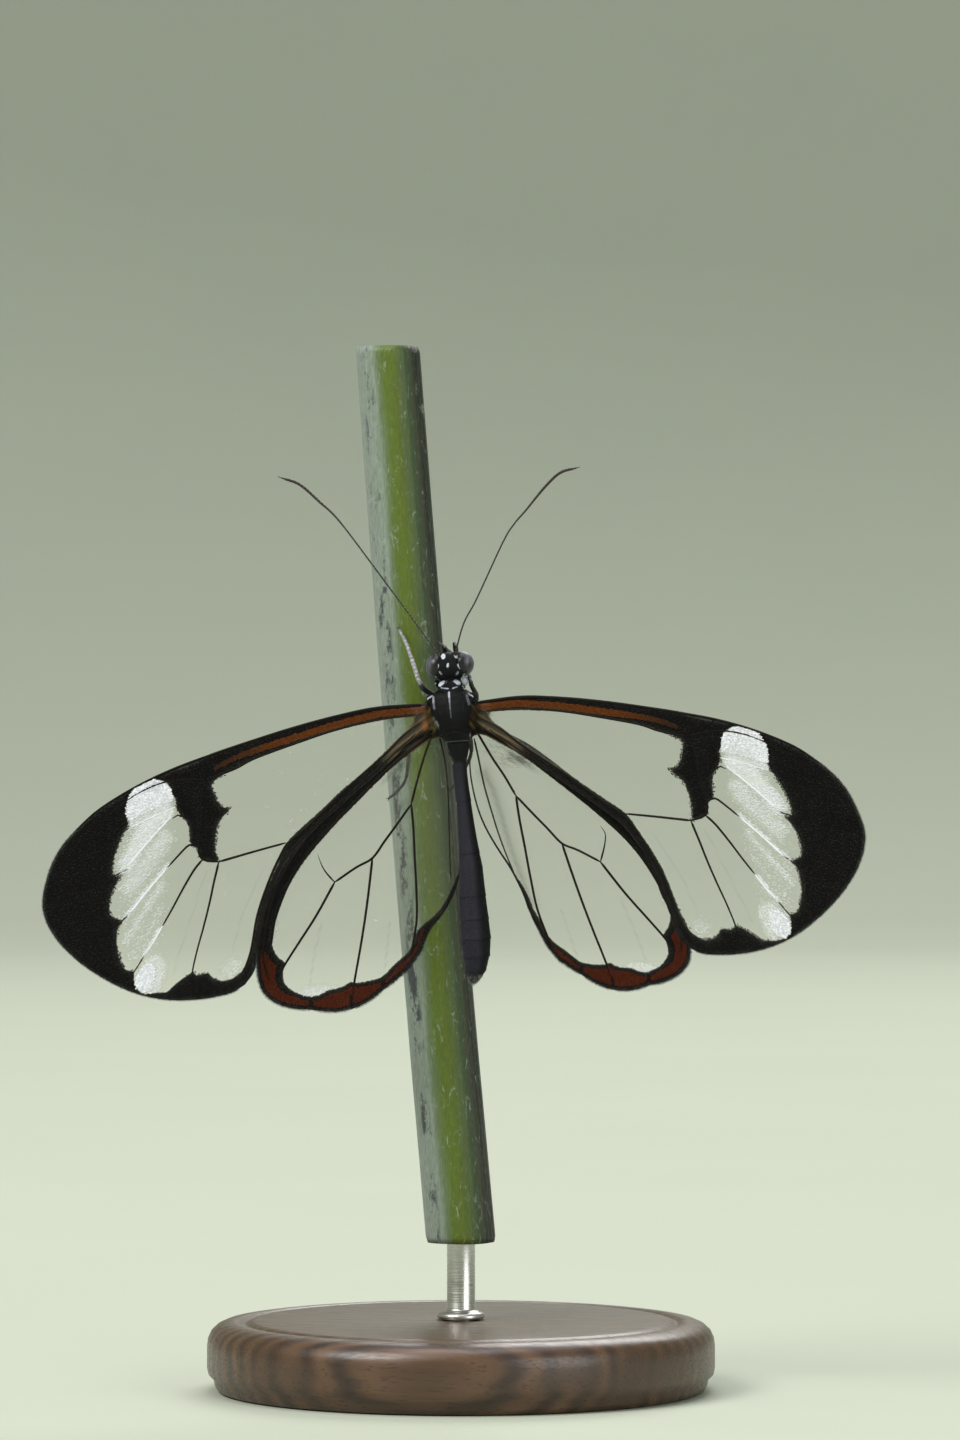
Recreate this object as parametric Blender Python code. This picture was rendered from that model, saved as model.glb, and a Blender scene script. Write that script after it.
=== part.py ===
"""A glasswing butterfly at life size, wings spread, gripping a cut length of plant stem on a small stand.

Lengths are in millimetres until a mesh is made, and the model stands on the floor at Z = 0, +Z up.
The butterfly is drawn in its own body frame: out is sideways, along is towards the head and back is
towards the stem, all measured from the middle of the thorax. A wing is drawn flat, with u running
outwards from its root and v towards the tail, and is then laid on the body.
"""
import math

import bmesh
import bpy
from mathutils import Matrix, Vector
from mathutils.geometry import delaunay_2d_cdt, intersect_point_line

MM = 0.001
GAP = 0.3

# Stand
BASE_RADIUS = 18.0
BASE_HEIGHT = 5.0
BASE_EDGE = 1.0
BASE_SIDES = 64
ROD_RADIUS = 1.0
ROD_SIDES = 20
BASE_SOCKET_DEPTH = 3.0

# Cut length of stem
PERCH_FOOT = 10.5
PERCH_TOP = 74.0
PERCH_LEAN = math.radians(4.75)
PERCH_BOW = 0.15
PERCH_HALF_WIDTH = (2.42, 2.22)
PERCH_CORNER = 0.045
PERCH_CORNER_TURN = math.radians(25)
PERCH_SIDES = 20
PERCH_RINGS = 12
PERCH_SOCKET_DEPTH = 5.0

# Body
THORAX_AT = Vector((0.44, -7.0, 47.8))
BODY_LEAN = math.radians(4.5)
BODY_SIDES = 22

# Each thorax ring: along, half width, rise of the back, drop of the breast
THORAX_RINGS = (
    (2.25, 0.60, 0.65, 0.60),
    (2.10, 0.88, 0.92, 0.85),
    (1.88, 0.90, 0.98, 0.95),
    (1.72, 1.20, 1.25, 1.20),
    (1.35, 1.52, 1.52, 1.50),
    (0.85, 1.66, 1.70, 1.72),
    (0.20, 1.62, 1.78, 1.85),
    (-0.45, 1.38, 1.70, 1.80),
    (-1.05, 1.14, 1.45, 1.55),
    (-1.50, 0.96, 1.15, 1.20),
    (-1.75, 0.66, 0.80, 0.80),
)

THORAX_WAIST = 0.95

# Each abdomen ring: along, half width, how far its middle lies to the right
ABDOMEN_FRONT = -2.05
ABDOMEN_PROFILE = (
    (-2.05, 0.50, 0.12),
    (-2.25, 0.67, 0.12),
    (-2.90, 0.65, 0.14),
    (-3.40, 0.52, 0.20),
    (-4.05, 0.47, 0.27),
    (-5.90, 0.54, 0.32),
    (-7.60, 0.62, 0.36),
    (-9.60, 0.76, 0.43),
    (-10.60, 0.89, 0.46),
    (-12.65, 0.97, 0.42),
    (-14.25, 1.05, 0.41),
    (-15.65, 1.10, 0.41),
    (-16.85, 0.98, 0.35),
    (-17.95, 0.72, 0.22),
    (-18.60, 0.38, 0.02),
    (-18.85, 0.14, -0.05),
)
ABDOMEN_JOINTS = (-2.90, -5.93, -9.60, -12.60, -14.25, -15.65, -16.85)
ABDOMEN_STEP = 0.05
ABDOMEN_LIFT = 0.25
ABDOMEN_DEPTH = 1.05

# Head
HEAD_ALONG = 3.53
HEAD_RADII = (0.80, 0.90, 0.96)
HEAD_SIDE = 0.45
EYE_RADIUS = 0.80
EYE_OUT = 0.90
EYE_ALONG = 3.55
FACE_SIDES = 24

# Feelers, mouth parts and legs: points (out, along, back) and the radius at each point
ANTENNA_RADIUS = 0.25
ANTENNA_TIP = 0.16
ANTENNA_LEFT = (
    (-0.76, 4.62, -0.88),
    (-1.71, 6.20, -0.98),
    (-4.16, 10.17, -1.40),
    (-6.61, 14.06, -1.85),
    (-7.90, 15.56, -2.05),
    (-9.15, 16.85, -2.27),
    (-10.35, 17.43, -2.50),
)
ANTENNA_RIGHT = (
    (0.76, 4.68, -0.88),
    (1.41, 6.37, -0.95),
    (2.49, 8.02, -1.15),
    (5.07, 12.33, -1.60),
    (6.49, 13.81, -1.82),
    (7.96, 15.28, -2.05),
    (9.11, 16.15, -2.27),
    (10.28, 16.39, -2.50),
)
PALP_RIGHT = ((0.40, 4.30, 1.05), (0.44, 4.92, 0.60), (0.50, 5.06, -0.15))
PALP_LEFT = ((-0.34, 4.30, 1.05), (-0.34, 4.88, 0.60), (-0.30, 4.95, -0.10))
PALP_RADII = (0.20, 0.24, 0.15)
COIL_AT = (0.05, 3.95, 1.90)
COIL_RADIUS = 0.38
COIL_THICKNESS = 0.21

LEGS = {
    "foreleg_left": ((-0.48, 1.15, 2.22), (-0.55, 2.15, 2.45), (-0.50, 1.55, 3.00)),
    "foreleg_right": ((0.48, 1.15, 2.22), (0.55, 2.15, 2.45), (0.50, 1.55, 3.00)),
    "midleg_left": (
        (-1.22, 0.45, 2.10),
        (-1.62, 1.55, 2.00),
        (-2.27, 2.27, 1.40),
        (-2.92, 3.95, 2.60),
        (-3.46, 5.41, 3.60),
        (-4.00, 6.45, 4.36),
    ),
    "midleg_right": (
        (1.22, 0.45, 2.10),
        (1.72, 1.25, 1.75),
        (1.52, 2.08, 1.10),
        (0.95, 3.20, 2.40),
        (-0.35, 4.50, 3.70),
        (-1.30, 5.30, 4.38),
    ),
    "hindleg_left": (
        (-0.78, -0.95, 2.05),
        (-2.40, -0.90, 2.35),
        (-3.60, -2.10, 2.80),
        (-4.20, -4.07, 3.60),
        (-5.00, -4.95, 4.30),
        (-5.80, -5.44, 4.95),
    ),
    "hindleg_right": (
        (0.62, -0.95, 2.05),
        (0.72, -2.00, 2.70),
        (0.50, -3.00, 3.20),
        (-0.60, -4.40, 4.40),
        (-1.35, -5.20, 5.00),
    ),
}
LEG_RADIUS = 0.26
LEG_TIP = 0.18

# Wings
WING_HALF = 0.25
WING_GAP = 0.37
RIDGE = 0.14
VEIN_HALF_WIDTH = 0.32
WING_STEP = 0.95
WING_GRID = 2.1
WING_BOW = 0.5
WING_SPAN = 28.5
DIHEDRAL = {"right": math.radians(16), "left": math.radians(10)}
SIDE = {"right": 1, "left": -1}

# Where each wing's root lies: out, along, back, and the turn of the wing in its own plane
FOREWING_ROOT = {"right": (2.16, 0.77, -0.15, 0.0), "left": (2.32, 0.90, -0.15, math.radians(1.9))}
HINDWING_ROOT = {"right": (2.20, -1.46, 0.95, 0.0), "left": (2.08, -1.48, 0.95, 0.0)}
HIND_SWAY = 0.045
HIND_FOLD = 0.12
HIND_FOLD_FROM = 0.6

FORE_COSTA = (
    (0.5, -0.10), (2.9, -0.10), (5.8, 0.15), (8.8, 0.60), (11.7, 1.15), (14.6, 1.75), (17.5, 2.45),
    (20.3, 3.40), (23.0, 4.65), (25.0, 6.05), (26.4, 7.55), (27.3, 9.3), (27.75, 11.2), (27.2, 13.1),
    (25.9, 14.9), (24.1, 16.5), (22.0, 17.8), (19.8, 18.55), (17.4, 18.8), (15.4, 18.6), (14.1, 18.0),
)
FORE_HIND_MARGIN = (
    (14.1, 18.0), (13.3, 17.0), (12.85, 15.2), (12.35, 13.6), (11.75, 12.1), (10.9, 10.6), (9.7, 9.1),
    (7.5, 7.35), (5.1, 5.6), (2.4, 3.7), (0.9, 2.45),
)
FORE_BASE = (-0.10, 0.4, 0.9, 1.45)
FORE_VEINS = (
    ((0.3, 0.55), (5.8, 0.75), (11.7, 1.75), (15.2, 2.65), (19.0, 3.6), (22.6, 5.2), (25.0, 7.2)),
    ((0.3, 1.0), (2.8, 3.3), (5.8, 5.45), (8.7, 7.6), (10.2, 8.75), (11.7, 11.1), (12.9, 13.8), (13.8, 16.9)),
    ((10.2, 8.75), (12.4, 8.85), (15.0, 9.3), (16.1, 9.0), (16.3, 8.1), (15.9, 6.4), (15.7, 4.6), (15.2, 2.65)),
    ((15.0, 9.3), (16.0, 12.2), (17.2, 15.3), (17.8, 18.2)),
    ((16.1, 9.0), (17.7, 10.8), (19.5, 13.2), (21.6, 15.9), (23.1, 16.7)),
    ((16.3, 8.1), (17.7, 8.45), (18.7, 9.2), (21.8, 12.3), (25.9, 14.2)),
    ((15.9, 6.4), (17.6, 5.9), (19.6, 7.5), (22.6, 9.5), (26.9, 11.2)),
    ((19.0, 3.6), (21.5, 6.0), (23.6, 7.6), (26.4, 8.9)),
)
HIND_COSTA = (
    (0.3, -0.65), (1.5, 0.0), (3.1, 0.95), (4.6, 2.15), (6.15, 3.5), (7.7, 4.85), (9.0, 6.1), (10.05, 7.2),
    (11.1, 8.6), (12.0, 10.1), (12.7, 11.5), (13.15, 12.9), (13.4, 14.3), (13.45, 15.6), (13.2, 16.8),
    (12.4, 17.65), (11.2, 18.15), (10.0, 18.35), (8.6, 18.6), (7.2, 18.5), (6.0, 18.05), (4.6, 17.15),
    (3.25, 16.2),
)
HIND_INNER = {
    "right": (
        (3.25, 16.2), (2.4, 15.0), (1.9, 13.7), (1.55, 12.6), (1.2, 11.2), (0.5, 9.5), (-0.3, 8.1),
        (-1.05, 6.6), (-1.5, 5.2), (-1.75, 3.4), (-1.7, 1.8), (-1.35, 0.9),
    ),
    "left": (
        (3.25, 16.2), (2.1, 14.9), (1.35, 13.4), (0.25, 12.1), (-0.6, 10.7), (-1.25, 8.9), (-1.6, 7.2),
        (-1.75, 5.2), (-1.75, 3.4), (-1.6, 1.8), (-1.3, 0.9),
    ),
}
HIND_BASE = (-0.95, -0.4, 0.35)
HIND_VEINS = (
    ((-0.1, -0.4), (2.2, 0.95), (5.3, 3.55), (8.6, 6.6), (10.6, 9.0), (11.9, 11.5), (12.6, 14.2), (12.5, 16.2)),
    ((-0.5, 0.1), (0.1, 1.6), (0.9, 3.0), (1.55, 4.45), (2.7, 5.75), (3.7, 6.9), (4.65, 8.0), (5.8, 8.55), (7.35, 9.5)),
    ((1.55, 4.45), (1.65, 6.1), (1.8, 8.1), (1.95, 10.3), (2.2, 12.6), (2.9, 15.1)),
    ((4.65, 8.0), (5.1, 9.6), (5.6, 11.3), (6.2, 13.4), (6.9, 16.6), (7.2, 17.9)),
    ((7.35, 9.5), (8.5, 10.9), (9.7, 12.6), (10.9, 14.3), (12.0, 15.8)),
    ((7.35, 9.5), (7.9, 8.75), (8.2, 8.0), (8.4, 6.9)),
    ((-0.9, 0.9), (-0.95, 2.6), (-0.6, 4.6), (-0.1, 6.6), (0.35, 8.6), (0.95, 9.6)),
)


def material(name, colour, roughness, metallic=0.0):
    """One plain finish for one sub-part."""
    made = bpy.data.materials.new(name)
    made.use_nodes = True
    shader = made.node_tree.nodes["Principled BSDF"]
    shader.inputs["Base Color"].default_value = (*colour, 1.0)
    shader.inputs["Roughness"].default_value = roughness
    shader.inputs["Metallic"].default_value = metallic
    return made


def add_object(name, mesh_maker, finish, smooth=True):
    """Turns a bmesh drawn in millimetres into a named object in metres."""
    mesh_maker.normal_update()
    bmesh.ops.recalc_face_normals(mesh_maker, faces=mesh_maker.faces)
    bmesh.ops.scale(mesh_maker, vec=(MM, MM, MM), verts=mesh_maker.verts)
    mesh = bpy.data.meshes.new(name)
    mesh_maker.to_mesh(mesh)
    mesh_maker.free()
    if smooth:
        mesh.shade_smooth()
        mesh.set_sharp_from_angle(angle=math.radians(40))
    mesh.materials.append(finish)
    made = bpy.data.objects.new(name, mesh)
    bpy.context.scene.collection.objects.link(made)
    return made


def body_axes():
    """Directions of out, along and back in the world."""
    lean_sin = math.sin(BODY_LEAN)
    lean_cos = math.cos(BODY_LEAN)
    return Vector((lean_cos, 0, lean_sin)), Vector((-lean_sin, 0, lean_cos)), Vector((0, 1, 0))


OUT, ALONG, BACK = body_axes()


def on_body(out, along, back):
    """The world place of a point of the body frame."""
    return THORAX_AT + OUT * out + ALONG * along + BACK * back


def spline(points, step):
    """A smooth line through the points, read about every step millimetres."""
    ends = [2 * points[0] - points[1], *points, 2 * points[-1] - points[-2]]
    line = []
    for before, start, end, after in zip(ends, ends[1:], ends[2:], ends[3:]):
        count = max(1, round((end - start).length / step))
        for i in range(count):
            t = i / count
            pull = (end - before) * t + (2 * before - 5 * start + 4 * end - after) * t * t
            line.append(start + 0.5 * (pull + (3 * start - before - 3 * end + after) * t ** 3))
    line.append(points[-1].copy())
    return line


def between(table, place, column):
    """One column of a table of rings, read at a place along the body."""
    for low, high in zip(table, table[1:]):
        if high[0] <= place <= low[0]:
            share = (place - low[0]) / (high[0] - low[0])
            return low[column] + (high[column] - low[column]) * share
    return table[-1][column]


def loft(rings):
    """A closed skin over rings of equally many points."""
    bm = bmesh.new()
    loops = [[bm.verts.new(point) for point in ring] for ring in rings]
    for first, second in zip(loops, loops[1:]):
        for i in range(len(first)):
            j = (i + 1) % len(first)
            bm.faces.new((first[i], first[j], second[j], second[i]))
    bm.faces.new(loops[0])
    bm.faces.new(loops[-1])
    return bm


def tube(path, radii, sides):
    """A round tube along a path, with flat ends."""
    normal = (path[1] - path[0]).orthogonal().normalized()
    rings = []
    for i, centre in enumerate(path):
        ahead = path[min(i + 1, len(path) - 1)] - path[max(i - 1, 0)]
        ahead.normalize()
        normal = (normal - ahead * normal.dot(ahead)).normalized()
        across = ahead.cross(normal)
        turns = [2 * math.pi * k / sides for k in range(sides)]
        rings.append([centre + radii[i] * (math.cos(a) * normal + math.sin(a) * across) for a in turns])
    return loft(rings)


def limb(name, points, radius, tip, finish, step=0.45, sides=8, taper=0.25):
    """A leg or feeler: an even tube that narrows over its last part."""
    path = spline([on_body(*point) for point in points], step)
    last = len(path) - 1
    radii = []
    for i in range(len(path)):
        share = max(0.0, (i / last - 1 + taper) / taper)
        radii.append(radius + (tip - radius) * share)
    return add_object(name, tube(path, radii, sides), finish)


def make_base(finish):
    """The round foot of the stand, with a blind socket for the rod."""
    bm = bmesh.new()
    bmesh.ops.create_cone(
        bm, cap_ends=True, segments=BASE_SIDES, radius1=BASE_RADIUS, radius2=BASE_RADIUS,
        depth=BASE_HEIGHT, matrix=Matrix.Translation((0, 0, BASE_HEIGHT / 2)),
    )
    rim = [edge for edge in bm.edges if all(v.co.z > BASE_HEIGHT - 0.01 for v in edge.verts)]
    bmesh.ops.bevel(bm, geom=rim, offset=BASE_EDGE, segments=3, affect="EDGES", profile=0.5)
    base = add_object("stand_base", bm, finish)
    cut_socket(base, (0, 0, BASE_HEIGHT - BASE_SOCKET_DEPTH), (0, 0, BASE_HEIGHT + 1))


def cut_socket(target, low, high):
    """A round blind hole for the rod, cut with a guide cylinder."""
    low, high = Vector(low), Vector(high)
    bm = bmesh.new()
    bmesh.ops.create_cone(
        bm, cap_ends=True, segments=ROD_SIDES, radius1=ROD_RADIUS + GAP, radius2=ROD_RADIUS + GAP,
        depth=(high - low).length, matrix=Matrix.Translation((low + high) / 2),
    )
    cutter = add_object(target.name + "_socket", bm, target.data.materials[0], smooth=False)
    cutter.hide_render = True
    cutter.display_type = "WIRE"
    cut = target.modifiers.new("socket", "BOOLEAN")
    cut.operation = "DIFFERENCE"
    cut.solver = "EXACT"
    cut.object = cutter


def make_rod(finish):
    """The upright rod between the base and the stem."""
    low = BASE_HEIGHT - BASE_SOCKET_DEPTH + GAP
    high = PERCH_FOOT + PERCH_SOCKET_DEPTH - GAP
    bm = bmesh.new()
    bmesh.ops.create_cone(
        bm, cap_ends=True, segments=ROD_SIDES, radius1=ROD_RADIUS, radius2=ROD_RADIUS,
        depth=high - low, matrix=Matrix.Translation((0, 0, (low + high) / 2)),
    )
    add_object("stand_rod", bm, finish)


def perch_ring(share):
    """One cross-section of the stem, at a share of its height."""
    height = PERCH_TOP - PERCH_FOOT
    lean = -math.tan(PERCH_LEAN) * height * share - PERCH_BOW * math.sin(math.pi * share)
    low, high = PERCH_HALF_WIDTH
    half = low + (high - low) * share
    ring = []
    for k in range(PERCH_SIDES):
        turn = 2 * math.pi * k / PERCH_SIDES
        reach = half * (1 + PERCH_CORNER * math.cos(4 * (turn - PERCH_CORNER_TURN)))
        ring.append((lean + reach * math.cos(turn), reach * math.sin(turn), PERCH_FOOT + height * share))
    return ring


def make_perch(finish):
    """The cut length of angular stem, socketed on the rod."""
    bm = loft([perch_ring(i / (PERCH_RINGS - 1)) for i in range(PERCH_RINGS)])
    perch = add_object("perch", bm, finish)
    cut_socket(perch, (0, 0, PERCH_FOOT - 1), (0, 0, PERCH_FOOT + PERCH_SOCKET_DEPTH))


def body_ring(along, middle, lift, half_width, rise, drop):
    """An oval across the body, with its own rise towards the back and drop towards the breast."""
    ring = []
    for k in range(BODY_SIDES):
        turn = 2 * math.pi * k / BODY_SIDES
        depth = rise if math.sin(turn) < 0 else drop
        ring.append(on_body(middle + half_width * math.cos(turn), along, depth * math.sin(turn) - lift))
    return ring


def make_thorax(finish):
    """The thorax with its narrow collar."""
    rings = [body_ring(along, 0, 0, half, rise, drop) for along, half, rise, drop in THORAX_RINGS]
    add_object("thorax", loft(rings), finish)


def abdomen_places():
    """Where the abdomen has rings, and how far each stands out at a joint."""
    places = [(along, 0.0) for along, _, _ in ABDOMEN_PROFILE]
    for joint in ABDOMEN_JOINTS:
        places = [place for place in places if abs(place[0] - joint) > 0.25]
        places += [(joint + 0.14, ABDOMEN_STEP), (joint, -ABDOMEN_STEP), (joint - 0.3, 0.0)]
    return sorted(places, reverse=True)


def make_abdomen(finish):
    """The slender abdomen, each of its rings overlapping the next by a small step."""
    rings = []
    for along, step in abdomen_places():
        half = between(ABDOMEN_PROFILE, along, 1) + step
        middle = between(ABDOMEN_PROFILE, along, 2)
        share = (ABDOMEN_FRONT - along) / (ABDOMEN_FRONT - ABDOMEN_PROFILE[-1][0])
        lift = ABDOMEN_LIFT * math.sin(math.pi * share)
        rings.append(body_ring(along, middle, lift, half, half * ABDOMEN_DEPTH, half * ABDOMEN_DEPTH))
    add_object("abdomen", loft(rings), finish)


def ball(centre, radii, sides):
    """An oval ball in the body frame, its poles at head and tail."""
    bm = bmesh.new()
    bmesh.ops.create_uvsphere(bm, u_segments=sides, v_segments=sides // 2, radius=1)
    for vert in bm.verts:
        out, back, along = (vert.co[i] * radii[i] for i in range(3))
        vert.co = on_body(centre[0] + out, centre[1] + along, centre[2] + back)
    return bm


def slice_off(bm, out, towards):
    """Cuts away what lies beyond a plane across the body, towards the right or left, and closes the cut."""
    cut = bmesh.ops.bisect_plane(
        bm, geom=[*bm.verts, *bm.edges, *bm.faces], plane_co=on_body(out, 0, 0), plane_no=OUT * towards,
        clear_outer=True,
    )
    rim = [part for part in cut["geom_cut"] if isinstance(part, bmesh.types.BMEdge)]
    bmesh.ops.contextual_create(bm, geom=rim)


def make_head(finish):
    """The head between the eyes, flat where each eye sits."""
    bm = ball((0.05, HEAD_ALONG, 0), HEAD_RADII, FACE_SIDES)
    for towards in SIDE.values():
        slice_off(bm, towards * HEAD_SIDE, towards)
    add_object("head", bm, finish)


def make_eye(side, finish):
    """One bulging eye, flat where it meets the head."""
    outwards = SIDE[side]
    bm = ball((outwards * EYE_OUT, EYE_ALONG, 0), (EYE_RADIUS,) * 3, FACE_SIDES)
    slice_off(bm, outwards * (HEAD_SIDE + GAP), -outwards)
    add_object("eye_" + side, bm, finish)


def make_palp(name, points, finish):
    """One of the two short upturned mouth feelers."""
    path = spline([on_body(*point) for point in points], 0.3)
    last = len(path) - 1
    radii = [between(((0, PALP_RADII[0]), (-0.5, PALP_RADII[1]), (-1, PALP_RADII[2])), -i / last, 1)
             for i in range(len(path))]
    add_object(name, tube(path, radii, 8), finish)


def make_proboscis(finish):
    """The coiled tongue under the head."""
    ring_sides, tube_sides = 18, 8
    bm = bmesh.new()
    loops = []
    for i in range(ring_sides):
        turn = 2 * math.pi * i / ring_sides
        loop = []
        for k in range(tube_sides):
            roll = 2 * math.pi * k / tube_sides
            reach = COIL_RADIUS + COIL_THICKNESS * math.cos(roll)
            point = on_body(
                COIL_AT[0] + COIL_THICKNESS * math.sin(roll),
                COIL_AT[1] + reach * math.cos(turn),
                COIL_AT[2] + reach * math.sin(turn),
            )
            loop.append(bm.verts.new(point))
        loops.append(loop)
    for i in range(ring_sides):
        for k in range(tube_sides):
            j, m = (i + 1) % ring_sides, (k + 1) % tube_sides
            bm.faces.new((loops[i][k], loops[j][k], loops[j][m], loops[i][m]))
    add_object("proboscis", bm, finish)


def wing_point(side, root, sway, fold, u, v, lift):
    """A point of a flat wing plan laid on the body, lifted off its middle surface."""
    root_out, root_along, root_back, turn = root
    turned_u = u * math.cos(turn) - v * math.sin(turn)
    turned_v = u * math.sin(turn) + v * math.cos(turn)
    dihedral = DIHEDRAL[side]
    out = root_out + turned_u * math.cos(dihedral)
    rise = turned_u * math.sin(dihedral) + WING_BOW * math.sin(math.pi * out / WING_SPAN)
    bend = fold * max(0.0, HIND_FOLD_FROM - u) ** 1.3
    return on_body(SIDE[side] * out + sway * v, root_along - turned_v, root_back - rise + bend - lift)


def vein_lines(points):
    """A vein's middle line and its two edges, with the half width at each point of the middle."""
    middle = spline([Vector(point) for point in points], WING_STEP)
    edges = ([], [])
    halves = []
    for i, point in enumerate(middle):
        ahead = (middle[min(i + 1, len(middle) - 1)] - middle[max(i - 1, 0)]).normalized()
        across = Vector((-ahead.y, ahead.x))
        halves.append(VEIN_HALF_WIDTH * (1 - 0.35 * i / (len(middle) - 1)))
        edges[0].append(point + across * halves[i])
        edges[1].append(point - across * halves[i])
    return middle, edges, halves


def ridge_height(point, veins):
    """How far the vein ridges raise the membrane at a point of the plan."""
    height = 0.0
    for middle, _, halves in veins:
        for i in range(len(middle) - 1):
            _, share = intersect_point_line(point, middle[i], middle[i + 1])
            share = min(1.0, max(0.0, share))
            near = middle[i].lerp(middle[i + 1], share)
            half = halves[i] + (halves[i + 1] - halves[i]) * share
            height = max(height, RIDGE * (1 - (point - near).length / half))
    return height


def inside(point, outline):
    """Whether a point of the plan lies within the outline."""
    found = False
    for a, b in zip(outline, outline[1:] + outline[:1]):
        if (a.y > point.y) != (b.y > point.y):
            if point.x < a.x + (point.y - a.y) / (b.y - a.y) * (b.x - a.x):
                found = not found
    return found


def clear_of(point, lines, distance):
    """Whether a point keeps its distance from every point of the lines."""
    return all((point - other).length > distance for line in lines for other in line)


def wing_net(outline, veins):
    """A flat net of triangles that follows the outline and every vein."""
    points = list(outline)
    edges = [(i, (i + 1) % len(outline)) for i in range(len(outline))]
    lines = [line for middle, sides, _ in veins for line in (middle, *sides)]
    for line in lines:
        kept = [point for point in line if inside(point, outline)]
        start = len(points)
        points += kept
        edges += [(start + i, start + i + 1) for i in range(len(kept) - 1)]
    reach = int(WING_SPAN / WING_GRID) + 1
    for i in range(-1, reach):
        for j in range(-1, reach):
            spot = Vector((i * WING_GRID + (j % 2) * WING_GRID / 2, j * WING_GRID * 0.87))
            if inside(spot, outline) and clear_of(spot, [outline, *lines], WING_GRID * 0.42):
                points.append(spot)
    net = delaunay_2d_cdt(points, edges, [list(range(len(outline)))], 1, 0.02)
    return net[0], [tuple(face) for face in net[2]]


def root_edge(root, places):
    """Plan points along a wing's root edge, which follows the side of the thorax."""
    root_out, root_along, root_back, _ = root
    depth = max(0.0, root_back - WING_HALF)
    edge = []
    for v in places:
        along = root_along - v
        drop = between(THORAX_RINGS, along, 3)
        flank = between(THORAX_RINGS, along, 1) * math.sqrt(max(0.0, 1 - (depth / drop) ** 2))
        edge.append(Vector((max(flank, THORAX_WAIST) + WING_GAP - root_out, v)))
    return edge


def make_wing(name, side, front, rear, base, vein_points, root, finish, sway=0.0, fold=0.0):
    """A thin wing with its veins raised on both faces."""
    edge = root_edge(root, base)
    outline = spline([edge[0], *(Vector(p) for p in front)], WING_STEP)[:-1]
    outline += spline([*(Vector(p) for p in rear), edge[-1]], WING_STEP)
    outline += edge[-2:0:-1]
    veins = [vein_lines(points) for points in vein_points]
    plan, triangles = wing_net(outline, veins)
    bm = bmesh.new()
    skins = ([], [])
    for point in plan:
        lift = WING_HALF + max(0.0, ridge_height(point, veins))
        for skin, sign in zip(skins, (1, -1)):
            skin.append(bm.verts.new(wing_point(side, root, sway, fold, point.x, point.y, sign * lift)))
    rims = set()
    for a, b, c in triangles:
        bm.faces.new((skins[0][a], skins[0][b], skins[0][c]))
        bm.faces.new((skins[1][c], skins[1][b], skins[1][a]))
        for pair in ((a, b), (b, c), (c, a)):
            if pair[::-1] in rims:
                rims.discard(pair[::-1])
            else:
                rims.add(pair)
    for a, b in sorted(rims):
        bm.faces.new((skins[0][b], skins[0][a], skins[1][a], skins[1][b]))
    add_object(name, bm, finish)


def make_wings():
    """Two fore wings and, a little nearer the stem, two hind wings."""
    for side in ("right", "left"):
        fore = material("forewing_" + side, (0.10, 0.09, 0.07), 0.45)
        make_wing(
            "forewing_" + side, side, FORE_COSTA, FORE_HIND_MARGIN, FORE_BASE, FORE_VEINS,
            FOREWING_ROOT[side], fore,
        )
        hind = material("hindwing_" + side, (0.16, 0.08, 0.05), 0.45)
        make_wing(
            "hindwing_" + side, side, HIND_COSTA, HIND_INNER[side], HIND_BASE, HIND_VEINS,
            HINDWING_ROOT[side], hind, HIND_SWAY, HIND_FOLD,
        )


def clear_scene():
    """Removes whatever the file held before."""
    for old in list(bpy.data.objects):
        bpy.data.objects.remove(old)


def main():
    clear_scene()
    make_base(material("stand_base", (0.09, 0.055, 0.035), 0.4))
    make_rod(material("stand_rod", (0.6, 0.58, 0.55), 0.3, 1.0))
    make_perch(material("perch", (0.16, 0.22, 0.06), 0.6))
    make_thorax(material("thorax", (0.012, 0.012, 0.014), 0.35))
    make_abdomen(material("abdomen", (0.045, 0.043, 0.062), 0.5))
    make_head(material("head", (0.01, 0.01, 0.01), 0.4))
    for side in SIDE:
        make_eye(side, material("eye_" + side, (0.05, 0.045, 0.06), 0.15))
    make_palp("palp_right", PALP_RIGHT, material("palp_right", (0.02, 0.02, 0.02), 0.5))
    make_palp("palp_left", PALP_LEFT, material("palp_left", (0.02, 0.02, 0.02), 0.5))
    make_proboscis(material("proboscis", (0.03, 0.02, 0.015), 0.4))
    feeler = {"antenna_left": ANTENNA_LEFT, "antenna_right": ANTENNA_RIGHT}
    for name, points in feeler.items():
        finish = material(name, (0.02, 0.016, 0.012), 0.5)
        limb(name, points, ANTENNA_RADIUS, ANTENNA_TIP, finish, step=0.9, taper=0.12)
    for name, points in LEGS.items():
        limb(name, points, LEG_RADIUS, LEG_TIP, material(name, (0.05, 0.045, 0.045), 0.5))
    make_wings()


main()
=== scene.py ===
# %% [markdown]
# # A glasswing butterfly on its stem
#
# This lesson dresses a finished solid model of a glasswing butterfly that grips a cut length of plant
# stem. The solids give every size and place. Here each of them is replaced by a finer piece with the
# surface of the real thing: see-through wings with their veins, scales and fringe, a body covered in
# small scales and hair, glossy eyes, ringed feelers, and a waxy stem.
#
# The frame of the solids is loaded first. Its box is kept, because the dressed model has to fit it.

import math

import bmesh
import bpy
import numpy as np
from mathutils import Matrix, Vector
from mathutils.geometry import delaunay_2d_cdt
from mathutils.kdtree import KDTree


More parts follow.
